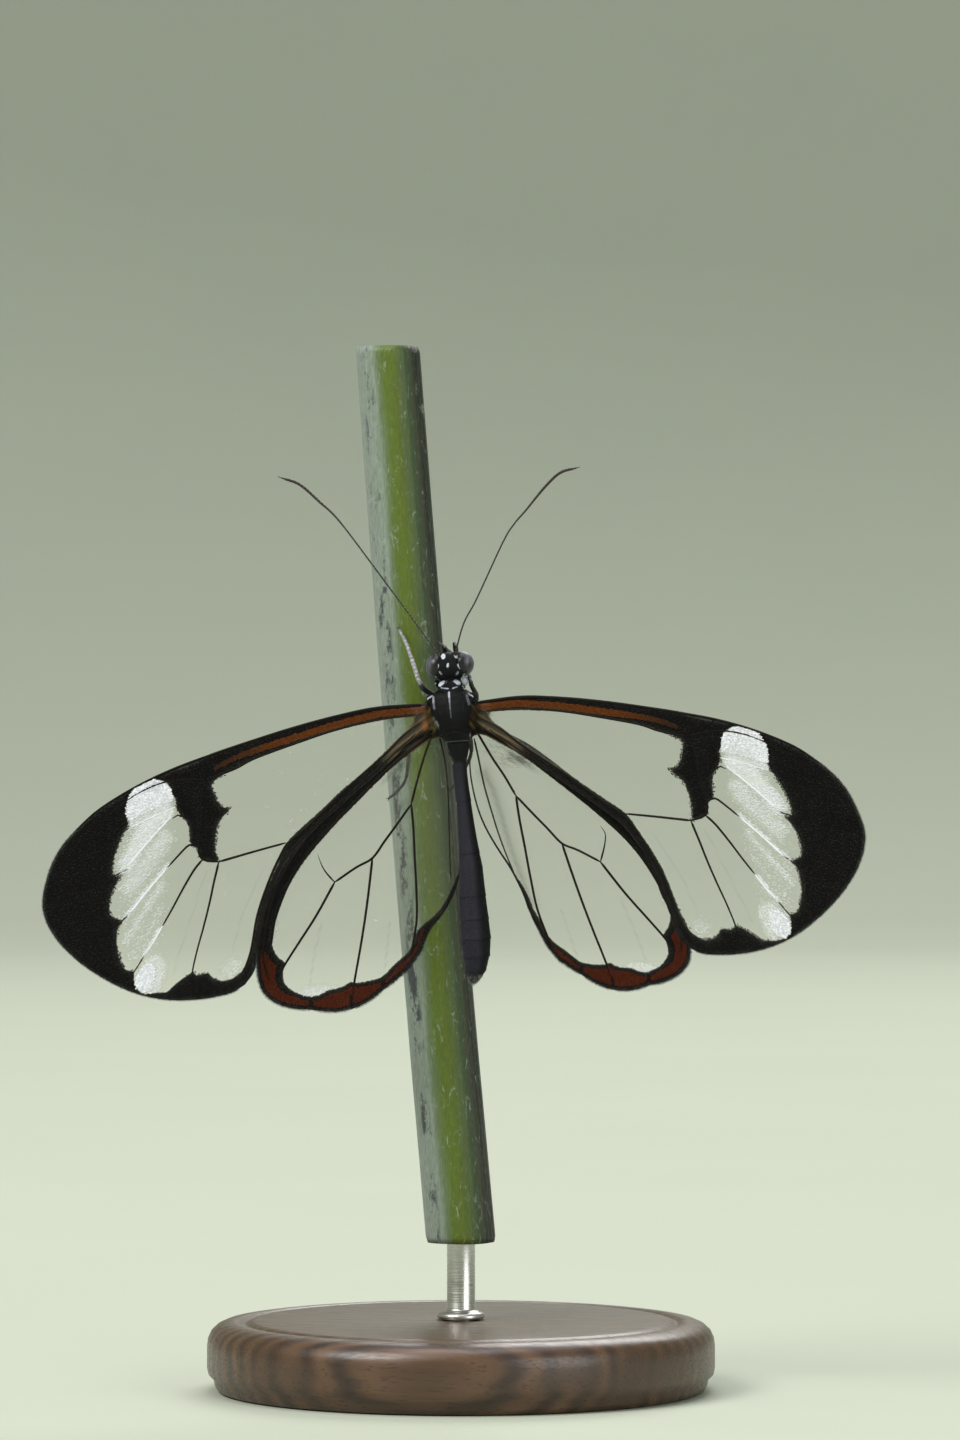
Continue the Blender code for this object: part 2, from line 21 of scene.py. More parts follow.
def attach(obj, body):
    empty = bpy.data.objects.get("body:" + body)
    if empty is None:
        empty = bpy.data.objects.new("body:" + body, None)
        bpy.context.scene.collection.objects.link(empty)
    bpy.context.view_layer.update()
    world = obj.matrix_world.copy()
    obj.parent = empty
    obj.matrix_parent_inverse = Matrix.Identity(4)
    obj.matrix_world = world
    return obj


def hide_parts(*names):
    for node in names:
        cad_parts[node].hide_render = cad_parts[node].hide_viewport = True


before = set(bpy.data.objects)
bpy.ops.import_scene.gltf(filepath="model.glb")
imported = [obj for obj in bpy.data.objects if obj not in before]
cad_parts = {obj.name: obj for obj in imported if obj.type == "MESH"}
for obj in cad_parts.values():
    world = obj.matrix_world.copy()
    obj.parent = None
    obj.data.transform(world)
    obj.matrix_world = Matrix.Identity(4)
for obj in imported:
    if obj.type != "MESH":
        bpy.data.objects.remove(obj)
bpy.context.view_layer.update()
MM = 0.001

# %% [markdown]
# ## The camera
#
# The photograph was taken from a little to the right of the butterfly's back and from some way off, so
# a long lens at 450 mm keeps its flat perspective. The frame is taller than wide, and Blender's sensor
# width then belongs to the tall side: the lens follows from how many millimetres that side has to show.

# %% Camera
VIEW_TURN = math.radians(8)
VIEW_DISTANCE = 450.0
VIEW_AIM = Vector((2.2, -6.0, 47.5))
VIEW_HEIGHT = 100.7


def add_object(name, data):
    """A new object in the scene."""
    made = bpy.data.objects.new(name, data)
    bpy.context.scene.collection.objects.link(made)
    return made


view_line = Vector((-math.sin(VIEW_TURN), math.cos(VIEW_TURN), 0))
camera_data = bpy.data.cameras.new("camera")
camera_data.sensor_width = 36.0
camera_data.lens = camera_data.sensor_width * VIEW_DISTANCE / VIEW_HEIGHT
camera_data.clip_start = 0.05
camera = add_object("camera", camera_data)
camera.location = (VIEW_AIM - view_line * VIEW_DISTANCE) * MM
camera.rotation_euler = view_line.to_track_quat("-Z", "Y").to_euler()
bpy.context.scene.camera = camera
print("lens in mm:", round(camera_data.lens, 1))

# %% [markdown]
# ## Small helpers for meshes
#
# Most pieces are computed as arrays of points in millimetres. These helpers turn them into Blender
# meshes in metres, merge several shapes into one mesh, and sweep a round tube along a path. Numpy is
# used because a wing has tens of thousands of points, and one array operation handles them all.

# %% Meshes from arrays
def new_piece(name, points, faces, finish, values=None, closed=True):
    """A mesh object from points in millimetres, with named values. Closed shells are turned to face outwards."""
    mesh = bpy.data.meshes.new(name)
    mesh.from_pydata((np.asarray(points) * MM).tolist(), [], [tuple(map(int, face)) for face in faces])
    for label, column in (values or {}).items():
        store(mesh, label, column)
    mesh.materials.append(finish)
    if faces:
        mesh.shade_smooth()
    if faces and closed:
        bm = bmesh.new()
        bm.from_mesh(mesh)
        bmesh.ops.recalc_face_normals(bm, faces=bm.faces)
        bm.to_mesh(mesh)
        bm.free()
    return add_object(name, mesh)


def store(mesh, label, column):
    """One named value for each point of a mesh: a number, a vector or a colour."""
    column = np.asarray(column, np.float32)
    kinds = {1: ("FLOAT", "value"), 3: ("FLOAT_VECTOR", "vector"), 4: ("FLOAT_COLOR", "color")}
    kind, key = kinds[1 if column.ndim == 1 else column.shape[1]]
    mesh.attributes.new(label, kind, "POINT").data.foreach_set(key, column.ravel())


def place(piece, slot, *nodes):
    """Fixes a finished piece to the model in place of the solids that it stands for."""
    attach(piece, "root")
    if nodes:
        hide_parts(*nodes)
    print(f"{piece.name}: {len(piece.data.polygons)} faces")


# %% Lines and tubes
def spline(points, step):
    """A smooth line through the points, read about every step millimetres."""
    points = np.asarray(points, float)
    ends = np.vstack([2 * points[0] - points[1], points, 2 * points[-1] - points[-2]])
    line = []
    for before, start, end, after in zip(ends, ends[1:], ends[2:], ends[3:]):
        t = np.arange(max(1, round(np.linalg.norm(end - start) / step)))[:, None]
        t = t / len(t)
        pull = (end - before) * t + (2 * before - 5 * start + 4 * end - after) * t * t
        line.append(start + 0.5 * (pull + (3 * start - before - 3 * end + after) * t**3))
    return np.vstack([*line, points[-1:]])


def unit(vectors):
    """Rows of vectors, each made one long."""
    return vectors / np.linalg.norm(vectors, axis=1, keepdims=True)


def directions(path):
    """The unit direction of a path at each of its points."""
    return unit(np.gradient(path, axis=0))


def around(count):
    """Evenly spaced angles once round."""
    return np.arange(count) * 2 * math.pi / count


def tube(path, radii, sides, flat=1.0, hint=(0.3, -1.0, 0.2)):
    """Points and faces of a closed tube, with rings that don't twist. flat squeezes it along hint."""
    path, ahead = np.asarray(path, float), directions(np.asarray(path, float))
    normal = np.asarray(hint, float)
    turns = around(sides)
    points = []
    for centre, line, radius in zip(path, ahead, np.broadcast_to(radii, len(path))):
        normal = normal - line * (normal @ line)
        normal /= np.linalg.norm(normal)
        across = np.cross(line, normal)
        points.append(centre + radius * (flat * np.outer(np.cos(turns), normal) + np.outer(np.sin(turns), across)))
    return np.vstack(points), ring_faces(len(path), sides)


def ring_faces(rings, sides):
    """Faces of a skin over rings of equally many points, closed at both ends."""
    faces = [tuple(reversed(range(sides))), tuple(range((rings - 1) * sides, rings * sides))]
    for i in range(rings - 1):
        for k in range(sides):
            a, b = i * sides + k, i * sides + (k + 1) % sides
            faces.append((a, b, b + sides, a + sides))
    return faces


def joined(parts):
    """Several (points, faces) as one."""
    points, faces = [], []
    for some, corners in parts:
        start = sum(len(other) for other in points)
        points.append(some)
        faces += [tuple(start + i for i in face) for face in corners]
    return np.vstack(points), faces


def gathered(parts):
    """The columns of several sets of roots, set after set."""
    return {label: np.concatenate([part[label] for part in parts]) for label in parts[0]}


def crossed(first, second):
    """Every pair of two rows of numbers, as two columns."""
    return (grid.ravel() for grid in np.meshgrid(first, second, indexing="ij"))


def ball(rings, sides, gap):
    """Tilt, turn and direction of points all over a ball, in rings from pole to pole."""
    tilt, turn = crossed(np.linspace(gap, math.pi - gap, rings), around(sides))
    return tilt, turn, np.stack([np.sin(tilt) * np.cos(turn), np.cos(tilt), np.sin(tilt) * np.sin(turn)], 1)


def smoothly(x, low, high):
    """0 below low, 1 above high, and a smooth rise between them."""
    share = np.clip((np.asarray(x, float) - low) / (high - low), 0, 1)
    return share * share * (3 - 2 * share)


# %% Distances on a flat plan
DOT_STEP = 0.03
LONG_LINE = 14


def to_line(spots, line):
    """The distance of each spot to a bent line. A long line is stood for by dots in a search tree."""
    if len(line) > LONG_LINE:
        runs = np.diff(line, axis=0)
        shares = [np.arange(0, 1, DOT_STEP / max(DOT_STEP, np.linalg.norm(run)))[:, None] for run in runs]
        dots = np.vstack([start + share * run for start, share, run in zip(line, shares, runs)])
        tree = KDTree(len(dots))
        for i, dot in enumerate(dots):
            tree.insert((*dot, 0), i)
        tree.balance()
        return np.array([tree.find((x, y, 0))[2] for x, y in spots.tolist()])
    best = np.full(len(spots), np.inf)
    for start, end in zip(line[:-1], line[1:]):
        run = end - start
        share = np.clip((spots - start) @ run / (run @ run), 0, 1)
        best = np.minimum(best, np.linalg.norm(spots - start - share[:, None] * run, axis=1))
    return best


def inside(spots, loop):
    """Whether each spot lies within a closed line."""
    u, v = spots.T
    found = np.zeros(len(spots), bool)
    for start, end in zip(loop, np.roll(loop, -1, axis=0)):
        if start[1] != end[1]:
            level = (start[1] > v) != (end[1] > v)
            found ^= level & (u < start[0] + (v - start[1]) / (end[1] - start[1]) * (end[0] - start[0]))
    return found


def depth_in(spots, loop):
    """How far each spot lies inside a closed line, or below zero how far outside it."""
    return to_line(spots, np.vstack([loop, loop[:1]])) * np.where(inside(spots, loop), 1, -1)


def rounded(loop, rounds=2):
    """A closed line with its corners cut, each time a little finer."""
    loop = np.asarray(loop, float)
    for _ in range(rounds):
        following = np.roll(loop, -1, axis=0)
        loop = np.stack([0.78 * loop + 0.22 * following, 0.22 * loop + 0.78 * following], 1).reshape(-1, 2)
    return loop


print("helpers ready")

# %% [markdown]
# ## Small helpers for node trees
#
# Materials and Geometry Nodes are both trees of linked nodes. Writing them out one link at a time takes
# many lines, so a short helper adds a node, sets its options and fills its inputs in a single call. An
# input takes a plain value or another node's output, which is then linked.

# %% Node trees in few words
def add_node(tree, kind, inputs=None, **options):
    """Adds a node with its options and inputs. A node given as an input stands for its first output."""
    node = tree.nodes.new(kind)
    for option, value in options.items():
        setattr(node, option, value)
    for key, value in (inputs or {}).items():
        socket = node.inputs[key]
        value = value.outputs[0] if isinstance(value, bpy.types.Node) else value
        if isinstance(value, bpy.types.NodeSocket):
            tree.links.new(value, socket)
        else:
            socket.default_value = value
    return node


def math_of(tree, operation, *values):
    """One arithmetic step and its result."""
    return add_node(tree, "ShaderNodeMath", dict(enumerate(values)), operation=operation).outputs[0]


def times(tree, first, second):
    """A product."""
    return math_of(tree, "MULTIPLY", first, second)


def plus(tree, first, second):
    """A sum."""
    return math_of(tree, "ADD", first, second)


def minus(tree, first, second):
    """A difference."""
    return math_of(tree, "SUBTRACT", first, second)


def noise(tree, spot, scale, detail=2.0, **more):
    """The strength of a cloudy pattern at a place."""
    inputs = {"Vector": spot, "Scale": scale, "Detail": detail, **more}
    return add_node(tree, "ShaderNodeTexNoise", inputs).outputs[0]


def mix(tree, share, first, second):
    """A colour between two colours."""
    return add_node(tree, "ShaderNodeMix", {0: share, 6: first, 7: second}, data_type="RGBA").outputs[2]


def between(tree, value, low, high, to_low=0.0, to_high=1.0):
    """A value mapped smoothly from one range to another."""
    inputs = {0: value, 1: low, 2: high, 3: to_low, 4: to_high}
    return add_node(tree, "ShaderNodeMapRange", inputs, interpolation_type="SMOOTHSTEP").outputs[0]


def attribute(tree, name, part="Fac"):
    """A named value that the mesh carries."""
    return add_node(tree, "ShaderNodeAttribute", attribute_name=name).outputs[part]


def new_group(name, kind, ins, outs):
    """An empty node group with sockets given as (name, type, default), and what it is given and has to give."""
    tree = bpy.data.node_groups.new(name, kind)
    for label, socket, default in ins:
        made = tree.interface.new_socket(label, in_out="INPUT", socket_type="NodeSocket" + socket)
        if default is not None:
            made.default_value = default
    for label, socket in outs:
        tree.interface.new_socket(label, in_out="OUTPUT", socket_type="NodeSocket" + socket)
    return tree, add_node(tree, "NodeGroupInput").outputs, add_node(tree, "NodeGroupOutput").inputs


def use_group(tree, group, inputs):
    """A group placed in a tree."""
    return add_node(tree, group.bl_rna.identifier.replace("NodeTree", "NodeGroup"), inputs, node_tree=group)


def new_finish(name, roughness=0.5, **settings):
    """A material with one main shader, whose plain settings are set on its own sockets."""
    made = bpy.data.materials.new(name)
    made.use_nodes = True
    shader = made.node_tree.nodes["Principled BSDF"]
    shader.inputs["Roughness"].default_value = roughness
    for label, value in settings.items():
        shader.inputs[label.replace("_", " ")].default_value = value
    return made, made.node_tree, shader


def connect(tree, shader, **sockets):
    """Links node results to the main shader."""
    for label, socket in sockets.items():
        tree.links.new(socket, shader.inputs[label.replace("_", " ")])


def bump(tree, height, distance, strength=1.0):
    """A surface normal bent by a height, with the height's full size in millimetres."""
    inputs = {"Strength": strength, "Distance": distance * MM, "Height": height}
    return add_node(tree, "ShaderNodeBump", inputs).outputs[0]


print("node helpers ready")

# %% [markdown]
# ## Effects that several finishes share
#
# Three effects turn up again and again on this animal. A marking is never cut off cleanly but ends in
# single scales, so a **ragged edge** turns a distance in millimetres into a soft, uneven mask. Scaled
# skin has a **grain** of tiny overlapping cells. And everything that lay outdoors carries fine **dust**.
# Each is built once as a node group with its own inputs.

# %% Shared effects
def ragged_edge_group():
    """A mask that is 1 where a distance in millimetres is above zero, with an uneven edge."""
    tree, given, result = new_group(
        "ragged_edge", "ShaderNodeTree",
        [("Distance", "Float", 0.0), ("Softness", "Float", 0.05), ("Raggedness", "Float", 0.1),
         ("Scale", "Float", 9.0), ("Place", "Vector", None)],
        [("Mask", "Float")],
    )
    cloud = noise(tree, given["Place"], given["Scale"])
    uneven = times(tree, minus(tree, cloud, 0.5), given["Raggedness"])
    shifted = plus(tree, given["Distance"], times(tree, uneven, 2.0))
    low = times(tree, given["Softness"], -1.0)
    tree.links.new(between(tree, shifted, low, given["Softness"]), result[0])
    return tree


def grain_group():
    """Fine overlapping cells: their height, and a tone that differs from cell to cell."""
    tree, given, result = new_group(
        "scale_grain", "ShaderNodeTree",
        [("Place", "Vector", None), ("Scale", "Float", 8.0)],
        [("Height", "Float"), ("Tone", "Float")],
    )
    cells = add_node(tree, "ShaderNodeTexVoronoi", {"Vector": given["Place"], "Scale": given["Scale"]})
    tone = add_node(tree, "ShaderNodeSeparateColor", {0: cells.outputs["Color"]})
    tree.links.new(minus(tree, 1.0, cells.outputs["Distance"]), result["Height"])
    tree.links.new(between(tree, tone.outputs[0], 0.0, 1.0, 0.6, 1.4), result["Tone"])
    return tree


def dust_group():
    """Sparse pale specks and short hairs: a mask."""
    tree, given, result = new_group(
        "dust", "ShaderNodeTree",
        [("Place", "Vector", None), ("Scale", "Float", 2.0), ("Amount", "Float", 0.1)],
        [("Mask", "Float")],
    )
    fine = noise(tree, given["Place"], times(tree, given["Scale"], 6.0), 3.0, Roughness=0.7)
    patches = noise(tree, given["Place"], given["Scale"])
    both = plus(tree, fine, times(tree, patches, 0.45))
    edge = minus(tree, 1.02, times(tree, given["Amount"], 0.6))
    tree.links.new(between(tree, both, edge, plus(tree, edge, 0.08)), result[0])
    return tree


RAGGED_EDGE, SCALE_GRAIN, DUST = ragged_edge_group(), grain_group(), dust_group()


def object_place(tree, stretch=(1.0, 1.0, 1.0)):
    """A place on the piece in millimetres, stretched along the axes."""
    spot = add_node(tree, "ShaderNodeTexCoord").outputs["Object"]
    return add_node(tree, "ShaderNodeMapping", {0: spot, 3: [value / MM for value in stretch]}).outputs[0]


def grained(tree, spot, scale):
    """Height and tone of the scale grain at a place."""
    return use_group(tree, SCALE_GRAIN, {"Place": spot, "Scale": scale}).outputs


def masked(tree, distance, spot, softness=0.05, raggedness=0.1, scale=9.0):
    """The ragged mask of a distance."""
    inputs = {"Distance": distance, "Softness": softness, "Raggedness": raggedness, "Scale": scale, "Place": spot}
    return use_group(tree, RAGGED_EDGE, inputs).outputs[0]


print("shared effects:", RAGGED_EDGE.name, "/", SCALE_GRAIN.name, "/", DUST.name)

# %% [markdown]
# ## Hair and scales from Geometry Nodes
#
# A butterfly is covered in thousands of flat scales and fine hairs. Each grows from a root on the skin,
# lies in a direction and shows a face outwards. One Geometry Nodes tree does that for any cloud of
# roots: it sets a small closed shape on each root, turns it by the root's own directions, varies its
# size, and makes everything real mesh, because instances don't survive an export. The tree also writes
# the UV map OFBake, where a tuft is a tiny patch at its root's place, so that it keeps one colour.

# %% Coat trees
PATCH = 0.003


def cone_of(tree, corners, rows, bottom, top=0.0):
    """A small cone one unit high, closed at its foot."""
    inputs = {
        "Vertices": corners, "Side Segments": rows, "Fill Segments": 1,
        "Radius Top": top, "Radius Bottom": bottom, "Depth": 1.0,
    }
    return add_node(tree, "GeometryNodeMeshCone", inputs, fill_type="NGON").outputs["Mesh"]


def scale_shape(tree):
    """A flat scale: a low pyramid on four corners, one at the root, two at the shoulders, one at the tip."""
    cone = cone_of(tree, 4, 1, 0.5)
    spot = add_node(tree, "ShaderNodeSeparateXYZ", {0: add_node(tree, "GeometryNodeInputPosition")})
    middle = minus(tree, 1.0, times(tree, math_of(tree, "ABSOLUTE", spot.outputs["Y"]), 2.0))
    forward = plus(tree, plus(tree, spot.outputs["Y"], 0.5), times(tree, middle, 0.18))
    moved = add_node(tree, "ShaderNodeCombineXYZ", {0: spot.outputs["X"], 1: forward, 2: spot.outputs["Z"]})
    return add_node(tree, "GeometryNodeSetPosition", {"Geometry": cone, "Position": moved})


def hair_shape(tree):
    """A hair: a three-sided spike that bends back over its length."""
    cone = cone_of(tree, 3, 3, 0.5)
    spot = add_node(tree, "ShaderNodeSeparateXYZ", {0: add_node(tree, "GeometryNodeInputPosition")})
    bend = times(tree, math_of(tree, "POWER", spot.outputs["Z"], 2.0), -2.0)
    upward = minus(tree, bend, spot.outputs["Y"])
    moved = add_node(tree, "ShaderNodeCombineXYZ", {0: spot.outputs["X"], 1: spot.outputs["Z"], 2: upward})
    return add_node(tree, "GeometryNodeSetPosition", {"Geometry": cone, "Position": moved})


def named(tree, label, kind="FLOAT_VECTOR"):
    """A named value of the geometry."""
    return add_node(tree, "GeometryNodeInputNamedAttribute", {"Name": label}, data_type=kind).outputs["Attribute"]


def real_copies(tree, points, shape, turned, sizes):
    """A shape set on every point, as real mesh."""
    inputs = {"Points": points, "Instance": shape, "Rotation": turned, "Scale": sizes}
    copies = add_node(tree, "GeometryNodeInstanceOnPoints", inputs)
    return add_node(tree, "GeometryNodeRealizeInstances", {"Geometry": copies})


def coat_tree(name, shape_maker):
    """A tree that sets one small shape on every root and makes the result real."""
    tree, given, result = new_group(
        name, "GeometryNodeTree",
        [("Roots", "Geometry", None), ("Width", "Float", 0.1), ("Length", "Float", 0.2),
         ("Thickness", "Float", 0.02), ("Spread", "Float", 0.2), ("Seed", "Int", 1), ("Finish", "Material", None)],
        [("Coat", "Geometry")],
    )
    shape = shape_maker(tree)
    inner = add_node(tree, "GeometryNodeInputPosition")
    marked = add_node(
        tree, "GeometryNodeStoreNamedAttribute", {"Geometry": shape, "Name": "patch", "Value": inner},
        data_type="FLOAT_VECTOR", domain="POINT",
    )
    turned = add_node(
        tree, "FunctionNodeAxesToRotation", {0: named(tree, "lie"), 1: named(tree, "up")},
        primary_axis="Y", secondary_axis="Z",
    )
    least, most = minus(tree, 1.0, given["Spread"]), plus(tree, 1.0, given["Spread"])
    vary = add_node(tree, "FunctionNodeRandomValue", {2: least, 3: most, "Seed": given["Seed"]}, data_type="FLOAT")
    grow = times(tree, vary.outputs[1], named(tree, "grow", "FLOAT"))
    wide = times(tree, given["Width"], math_of(tree, "SQRT", grow))
    long = times(tree, given["Length"], grow)
    sizes = add_node(tree, "ShaderNodeCombineXYZ", {0: wide, 1: long, 2: given["Thickness"]})
    metres = add_node(tree, "ShaderNodeVectorMath", {0: sizes, 1: (MM, MM, MM)}, operation="MULTIPLY")
    real = real_copies(tree, given["Roots"], marked, turned, metres)
    patch = add_node(tree, "ShaderNodeVectorMath", {0: named(tree, "patch"), 1: (PATCH,) * 3}, operation="MULTIPLY")
    spot = add_node(tree, "ShaderNodeVectorMath", {0: patch, 1: named(tree, "root_uv")}, operation="ADD")
    mapped = add_node(
        tree, "GeometryNodeStoreNamedAttribute", {"Geometry": real, "Name": "OFBake", "Value": spot},
        data_type="FLOAT2", domain="CORNER",
    )
    dressed = add_node(tree, "GeometryNodeSetMaterial", {"Geometry": mapped, "Material": given["Finish"]})
    tree.links.new(dressed.outputs[0], result[0])
    return tree


SCALE_COAT, HAIR_COAT = coat_tree("coat of scales", scale_shape), coat_tree("coat of hair", hair_shape)


def run_tree(piece, tree, **inputs):
    """Runs a Geometry Nodes tree on a piece and keeps the result as its plain mesh."""
    modifier = piece.modifiers.new("nodes", "NODES")
    modifier.node_group = tree
    # an input is set by its socket's identifier
    for item in tree.interface.items_tree:
        label = item.name.lower().replace(" ", "_")
        if item.in_out == "INPUT" and label in inputs:
            modifier[item.identifier] = inputs[label]
    graph = bpy.context.evaluated_depsgraph_get()
    graph.update()
    made = piece.evaluated_get(graph)
    mesh = bpy.data.meshes.new_from_object(made, preserve_all_data_layers=True, depsgraph=graph)
    piece.modifiers.clear()
    piece.data = mesh
    for label in ("lie", "up", "grow", "root_uv", "patch"):
        if label in mesh.attributes:
            mesh.attributes.remove(mesh.attributes[label])
    return piece


def patch_uv(across, up):
    """Where each tuft lies on the coat's own map, from two columns of shares."""
    return np.stack([across, up, across * 0], 1)


def coat(name, tree, roots, finish, **sizes):
    """Grows a coat from roots: places, lie, up, grow, tint and root_uv."""
    places = roots.pop("places")
    piece = new_piece(name, places, [], finish, roots)
    return run_tree(piece, tree, finish=finish, **sizes)


print("coat trees:", SCALE_COAT.name, "/", HAIR_COAT.name)

# %% [markdown]
# ## Finish of a coat
#
# Every scale and hair carries its own colour as a mesh attribute called tint, worked out from the place
# of its root. The material only reads it. Scales are made of ridged chitin, so they are fairly rough
# with a weak shine.

# %% Coat finish
def coat_finish(name, roughness, shine):
    """A matt finish that takes its colour from each tuft's own tint."""
    made, tree, shader = new_finish(name, roughness, Specular_IOR_Level=shine)
    connect(tree, shader, Base_Color=attribute(tree, "tint", "Color"))
    return made


SCALE_FINISH = coat_finish("wing_scales", 0.7, 0.09)
BODY_SCALE_FINISH = coat_finish("body_scales", 0.5, 0.14)
HAIR_FINISH = coat_finish("fine_hair", 0.6, 0.15)
rng = np.random.default_rng(2328)


def tinted(colours, spread=0.25):
    """Colours with a small random change of brightness, as RGBA."""
    tone = rng.uniform(1 - spread, 1 + spread, (len(colours), 1))
    return np.hstack([np.clip(colours * tone, 0, 1), np.ones((len(colours), 1))])


print("coat finishes ready")

# %% [markdown]
# ## The body's own frame
#
# The butterfly leans a little and sits in front of the stem, so it is drawn in a frame of its own: *out*
# is sideways, *along* is towards the head and *back* is towards the stem, measured from the middle of
# the thorax. A wing is drawn flat, *u* outwards from its root and *v* towards the tail, and is laid on
# the body by the same rule as the solids: a dihedral, a slight bow, and for the hind wings a sway that
# follows the abdomen and a fold along their inner edge.

# %% Body frame and wing rule
THORAX_AT = np.array((0.44, -7.0, 47.8))
BODY_LEAN = math.radians(4.5)
OUT = np.array((math.cos(BODY_LEAN), 0, math.sin(BODY_LEAN)))
ALONG = np.array((-math.sin(BODY_LEAN), 0, math.cos(BODY_LEAN)))
BACK = np.array((0.0, 1.0, 0.0))
BODY_AXES = np.array((OUT, ALONG, BACK))

SIDE = {"right": 1, "left": -1}
DIHEDRAL = {"right": math.radians(16), "left": math.radians(10)}
WING_BOW, WING_SPAN = 0.5, 28.5
HIND_SWAY, HIND_FOLD, HIND_FOLD_FROM = 0.045, 0.12, 0.6
WING_ROOT = {
    "forewing_right": (2.16, 0.77, -0.15, 0.0),
    "forewing_left": (2.32, 0.9, -0.15, math.radians(1.9)),
    "hindwing_right": (2.2, -1.46, 0.95, 0.0),
    "hindwing_left": (2.08, -1.48, 0.95, 0.0),
}
WIDENED = {"hindwing_left": 1.028}


def on_body(points):
    """World places of points given as (out, along, back)."""
    return THORAX_AT + np.asarray(points, float) @ BODY_AXES


def kind_of(name):
    """The kind of a wing: forewing or hindwing."""
    return name.split("_")[0]


def on_wing(name, plan, lift=0.0):
    """World places of points of a wing's flat plan, lifted off its middle surface."""
    kind, side = name.split("_")
    hind = kind == "hindwing"
    root_out, root_along, root_back, turn = WING_ROOT[name]
    wide = plan[:, 0] * WIDENED.get(name, 1.0)
    u = wide * math.cos(turn) - plan[:, 1] * math.sin(turn)
    v = wide * math.sin(turn) + plan[:, 1] * math.cos(turn)
    out = root_out + u * math.cos(DIHEDRAL[side])
    rise = u * math.sin(DIHEDRAL[side]) + WING_BOW * np.sin(math.pi * out / WING_SPAN)
    bend = HIND_FOLD * np.maximum(0.0, HIND_FOLD_FROM - plan[:, 0]) ** 1.3 if hind else 0.0
    sway = HIND_SWAY * plan[:, 1] if hind else 0.0
    return on_body(np.stack([SIDE[side] * out + sway, root_along - v, root_back - rise + bend - lift], 1))


print("thorax at", THORAX_AT.tolist())

# %% [markdown]
# ## Plan of the wings
#
# Left and right wings are mirror images, so a fore wing and a hind wing are each drawn once. The
# outlines are the solids' own. On them lie the clear windows, drawn as closed lines around what has no
# dark scales, and the veins, which are the same lines that the solids raise as ridges, with the pale
# stretches where white scales cover them.

# %% Fore wing plan
FORE_ROOT_EDGE = ((-0.75, -0.05), (-0.8, 0.7), (-0.95, 1.4))
FORE_FRONT = (
    (0.5, -0.12), (2.9, -0.22), (5.8, 0.04), (8.8, 0.51), (11.7, 1.08), (14.6, 1.71), (17.5, 2.43),
    (20.3, 3.4), (23.0, 4.65), (25.0, 6.05), (26.4, 7.55), (27.3, 9.3), (27.75, 11.2), (27.2, 13.1),
    (25.9, 14.9), (24.1, 16.5), (22.0, 17.8), (19.8, 18.55), (17.4, 18.8), (15.4, 18.6), (14.1, 18.0),
)
FORE_REAR = (
    (14.1, 18.0), (13.3, 17.0), (12.85, 15.2), (12.35, 13.6), (11.75, 12.1), (10.9, 10.6), (9.7, 9.1),
    (7.5, 7.35), (5.1, 5.6), (2.4, 3.7), (0.9, 2.45),
)
FORE_WINDOW = (
    (0.6, 1.3), (1.4, 1.9), (2.9, 3.1), (4.3, 4.2), (5.9, 5.2), (7.3, 6.3), (8.8, 7.4), (10.3, 8.45),
    (11.2, 9.9), (11.9, 11.0), (12.6, 12.3), (13.1, 13.6), (13.5, 15.0), (13.9, 16.2), (14.4, 17.0),
    (15.0, 17.4), (15.5, 17.6), (16.3, 17.4), (16.6, 16.8), (17.4, 17.0), (17.7, 16.7), (18.3, 17.0),
    (19.1, 17.5), (19.5, 17.9), (20.2, 17.9), (21.1, 17.9), (21.6, 17.6), (21.8, 16.9), (21.7, 16.1),
    (22.2, 16.2), (22.5, 15.7), (22.7, 14.9), (22.7, 13.9), (22.5, 13.0), (22.0, 12.6), (23.0, 12.3),
    (22.9, 11.2), (22.5, 10.3), (21.7, 9.3), (22.5, 9.6), (22.4, 8.7), (22.0, 7.7), (21.4, 6.6), (20.9, 6.0),
    (21.1, 5.4), (20.9, 4.6), (20.5, 3.8), (20.0, 3.3), (19.1, 3.1), (18.4, 3.2), (17.9, 3.5), (17.7, 4.3),
    (17.5, 4.7), (17.6, 5.4), (16.9, 6.3), (16.8, 7.0), (16.9, 7.8), (16.3, 8.3), (16.4, 8.9), (15.6, 9.2),
    (15.05, 9.35), (15.1, 9.1), (15.2, 8.6), (15.0, 7.5), (14.7, 6.5), (13.5, 5.6), (14.3, 5.6), (14.6, 5.1),
    (14.8, 4.4), (14.9, 3.8), (14.0, 3.3), (13.2, 3.0), (11.7, 2.4), (10.2, 2.1), (8.8, 1.76), (7.3, 1.4),
    (5.8, 1.12), (4.3, 0.92), (2.8, 0.76), (1.3, 0.72), (0.4, 0.74),
)
FORE_STRIPE = (
    (-0.6, 0.3), (1.0, 0.29), (2.8, 0.3), (5.8, 0.7), (8.8, 1.28), (11.8, 1.9), (13.4, 2.35), (14.6, 2.85),
)
FORE_PATCH = (
    (17.6, 4.7), (17.7, 3.95), (18.05, 3.35), (18.8, 3.08), (19.7, 3.22), (20.5, 3.68), (20.9, 4.45),
    (21.1, 5.2), (20.95, 5.75), (20.2, 5.5), (19.2, 5.15), (18.3, 4.92),
)
FORE_SPOT = (
    (20.25, 15.9), (20.9, 15.75), (21.45, 16.3), (21.75, 16.9), (21.7, 17.45), (21.2, 17.85), (20.65, 17.6),
    (20.25, 16.8),
)
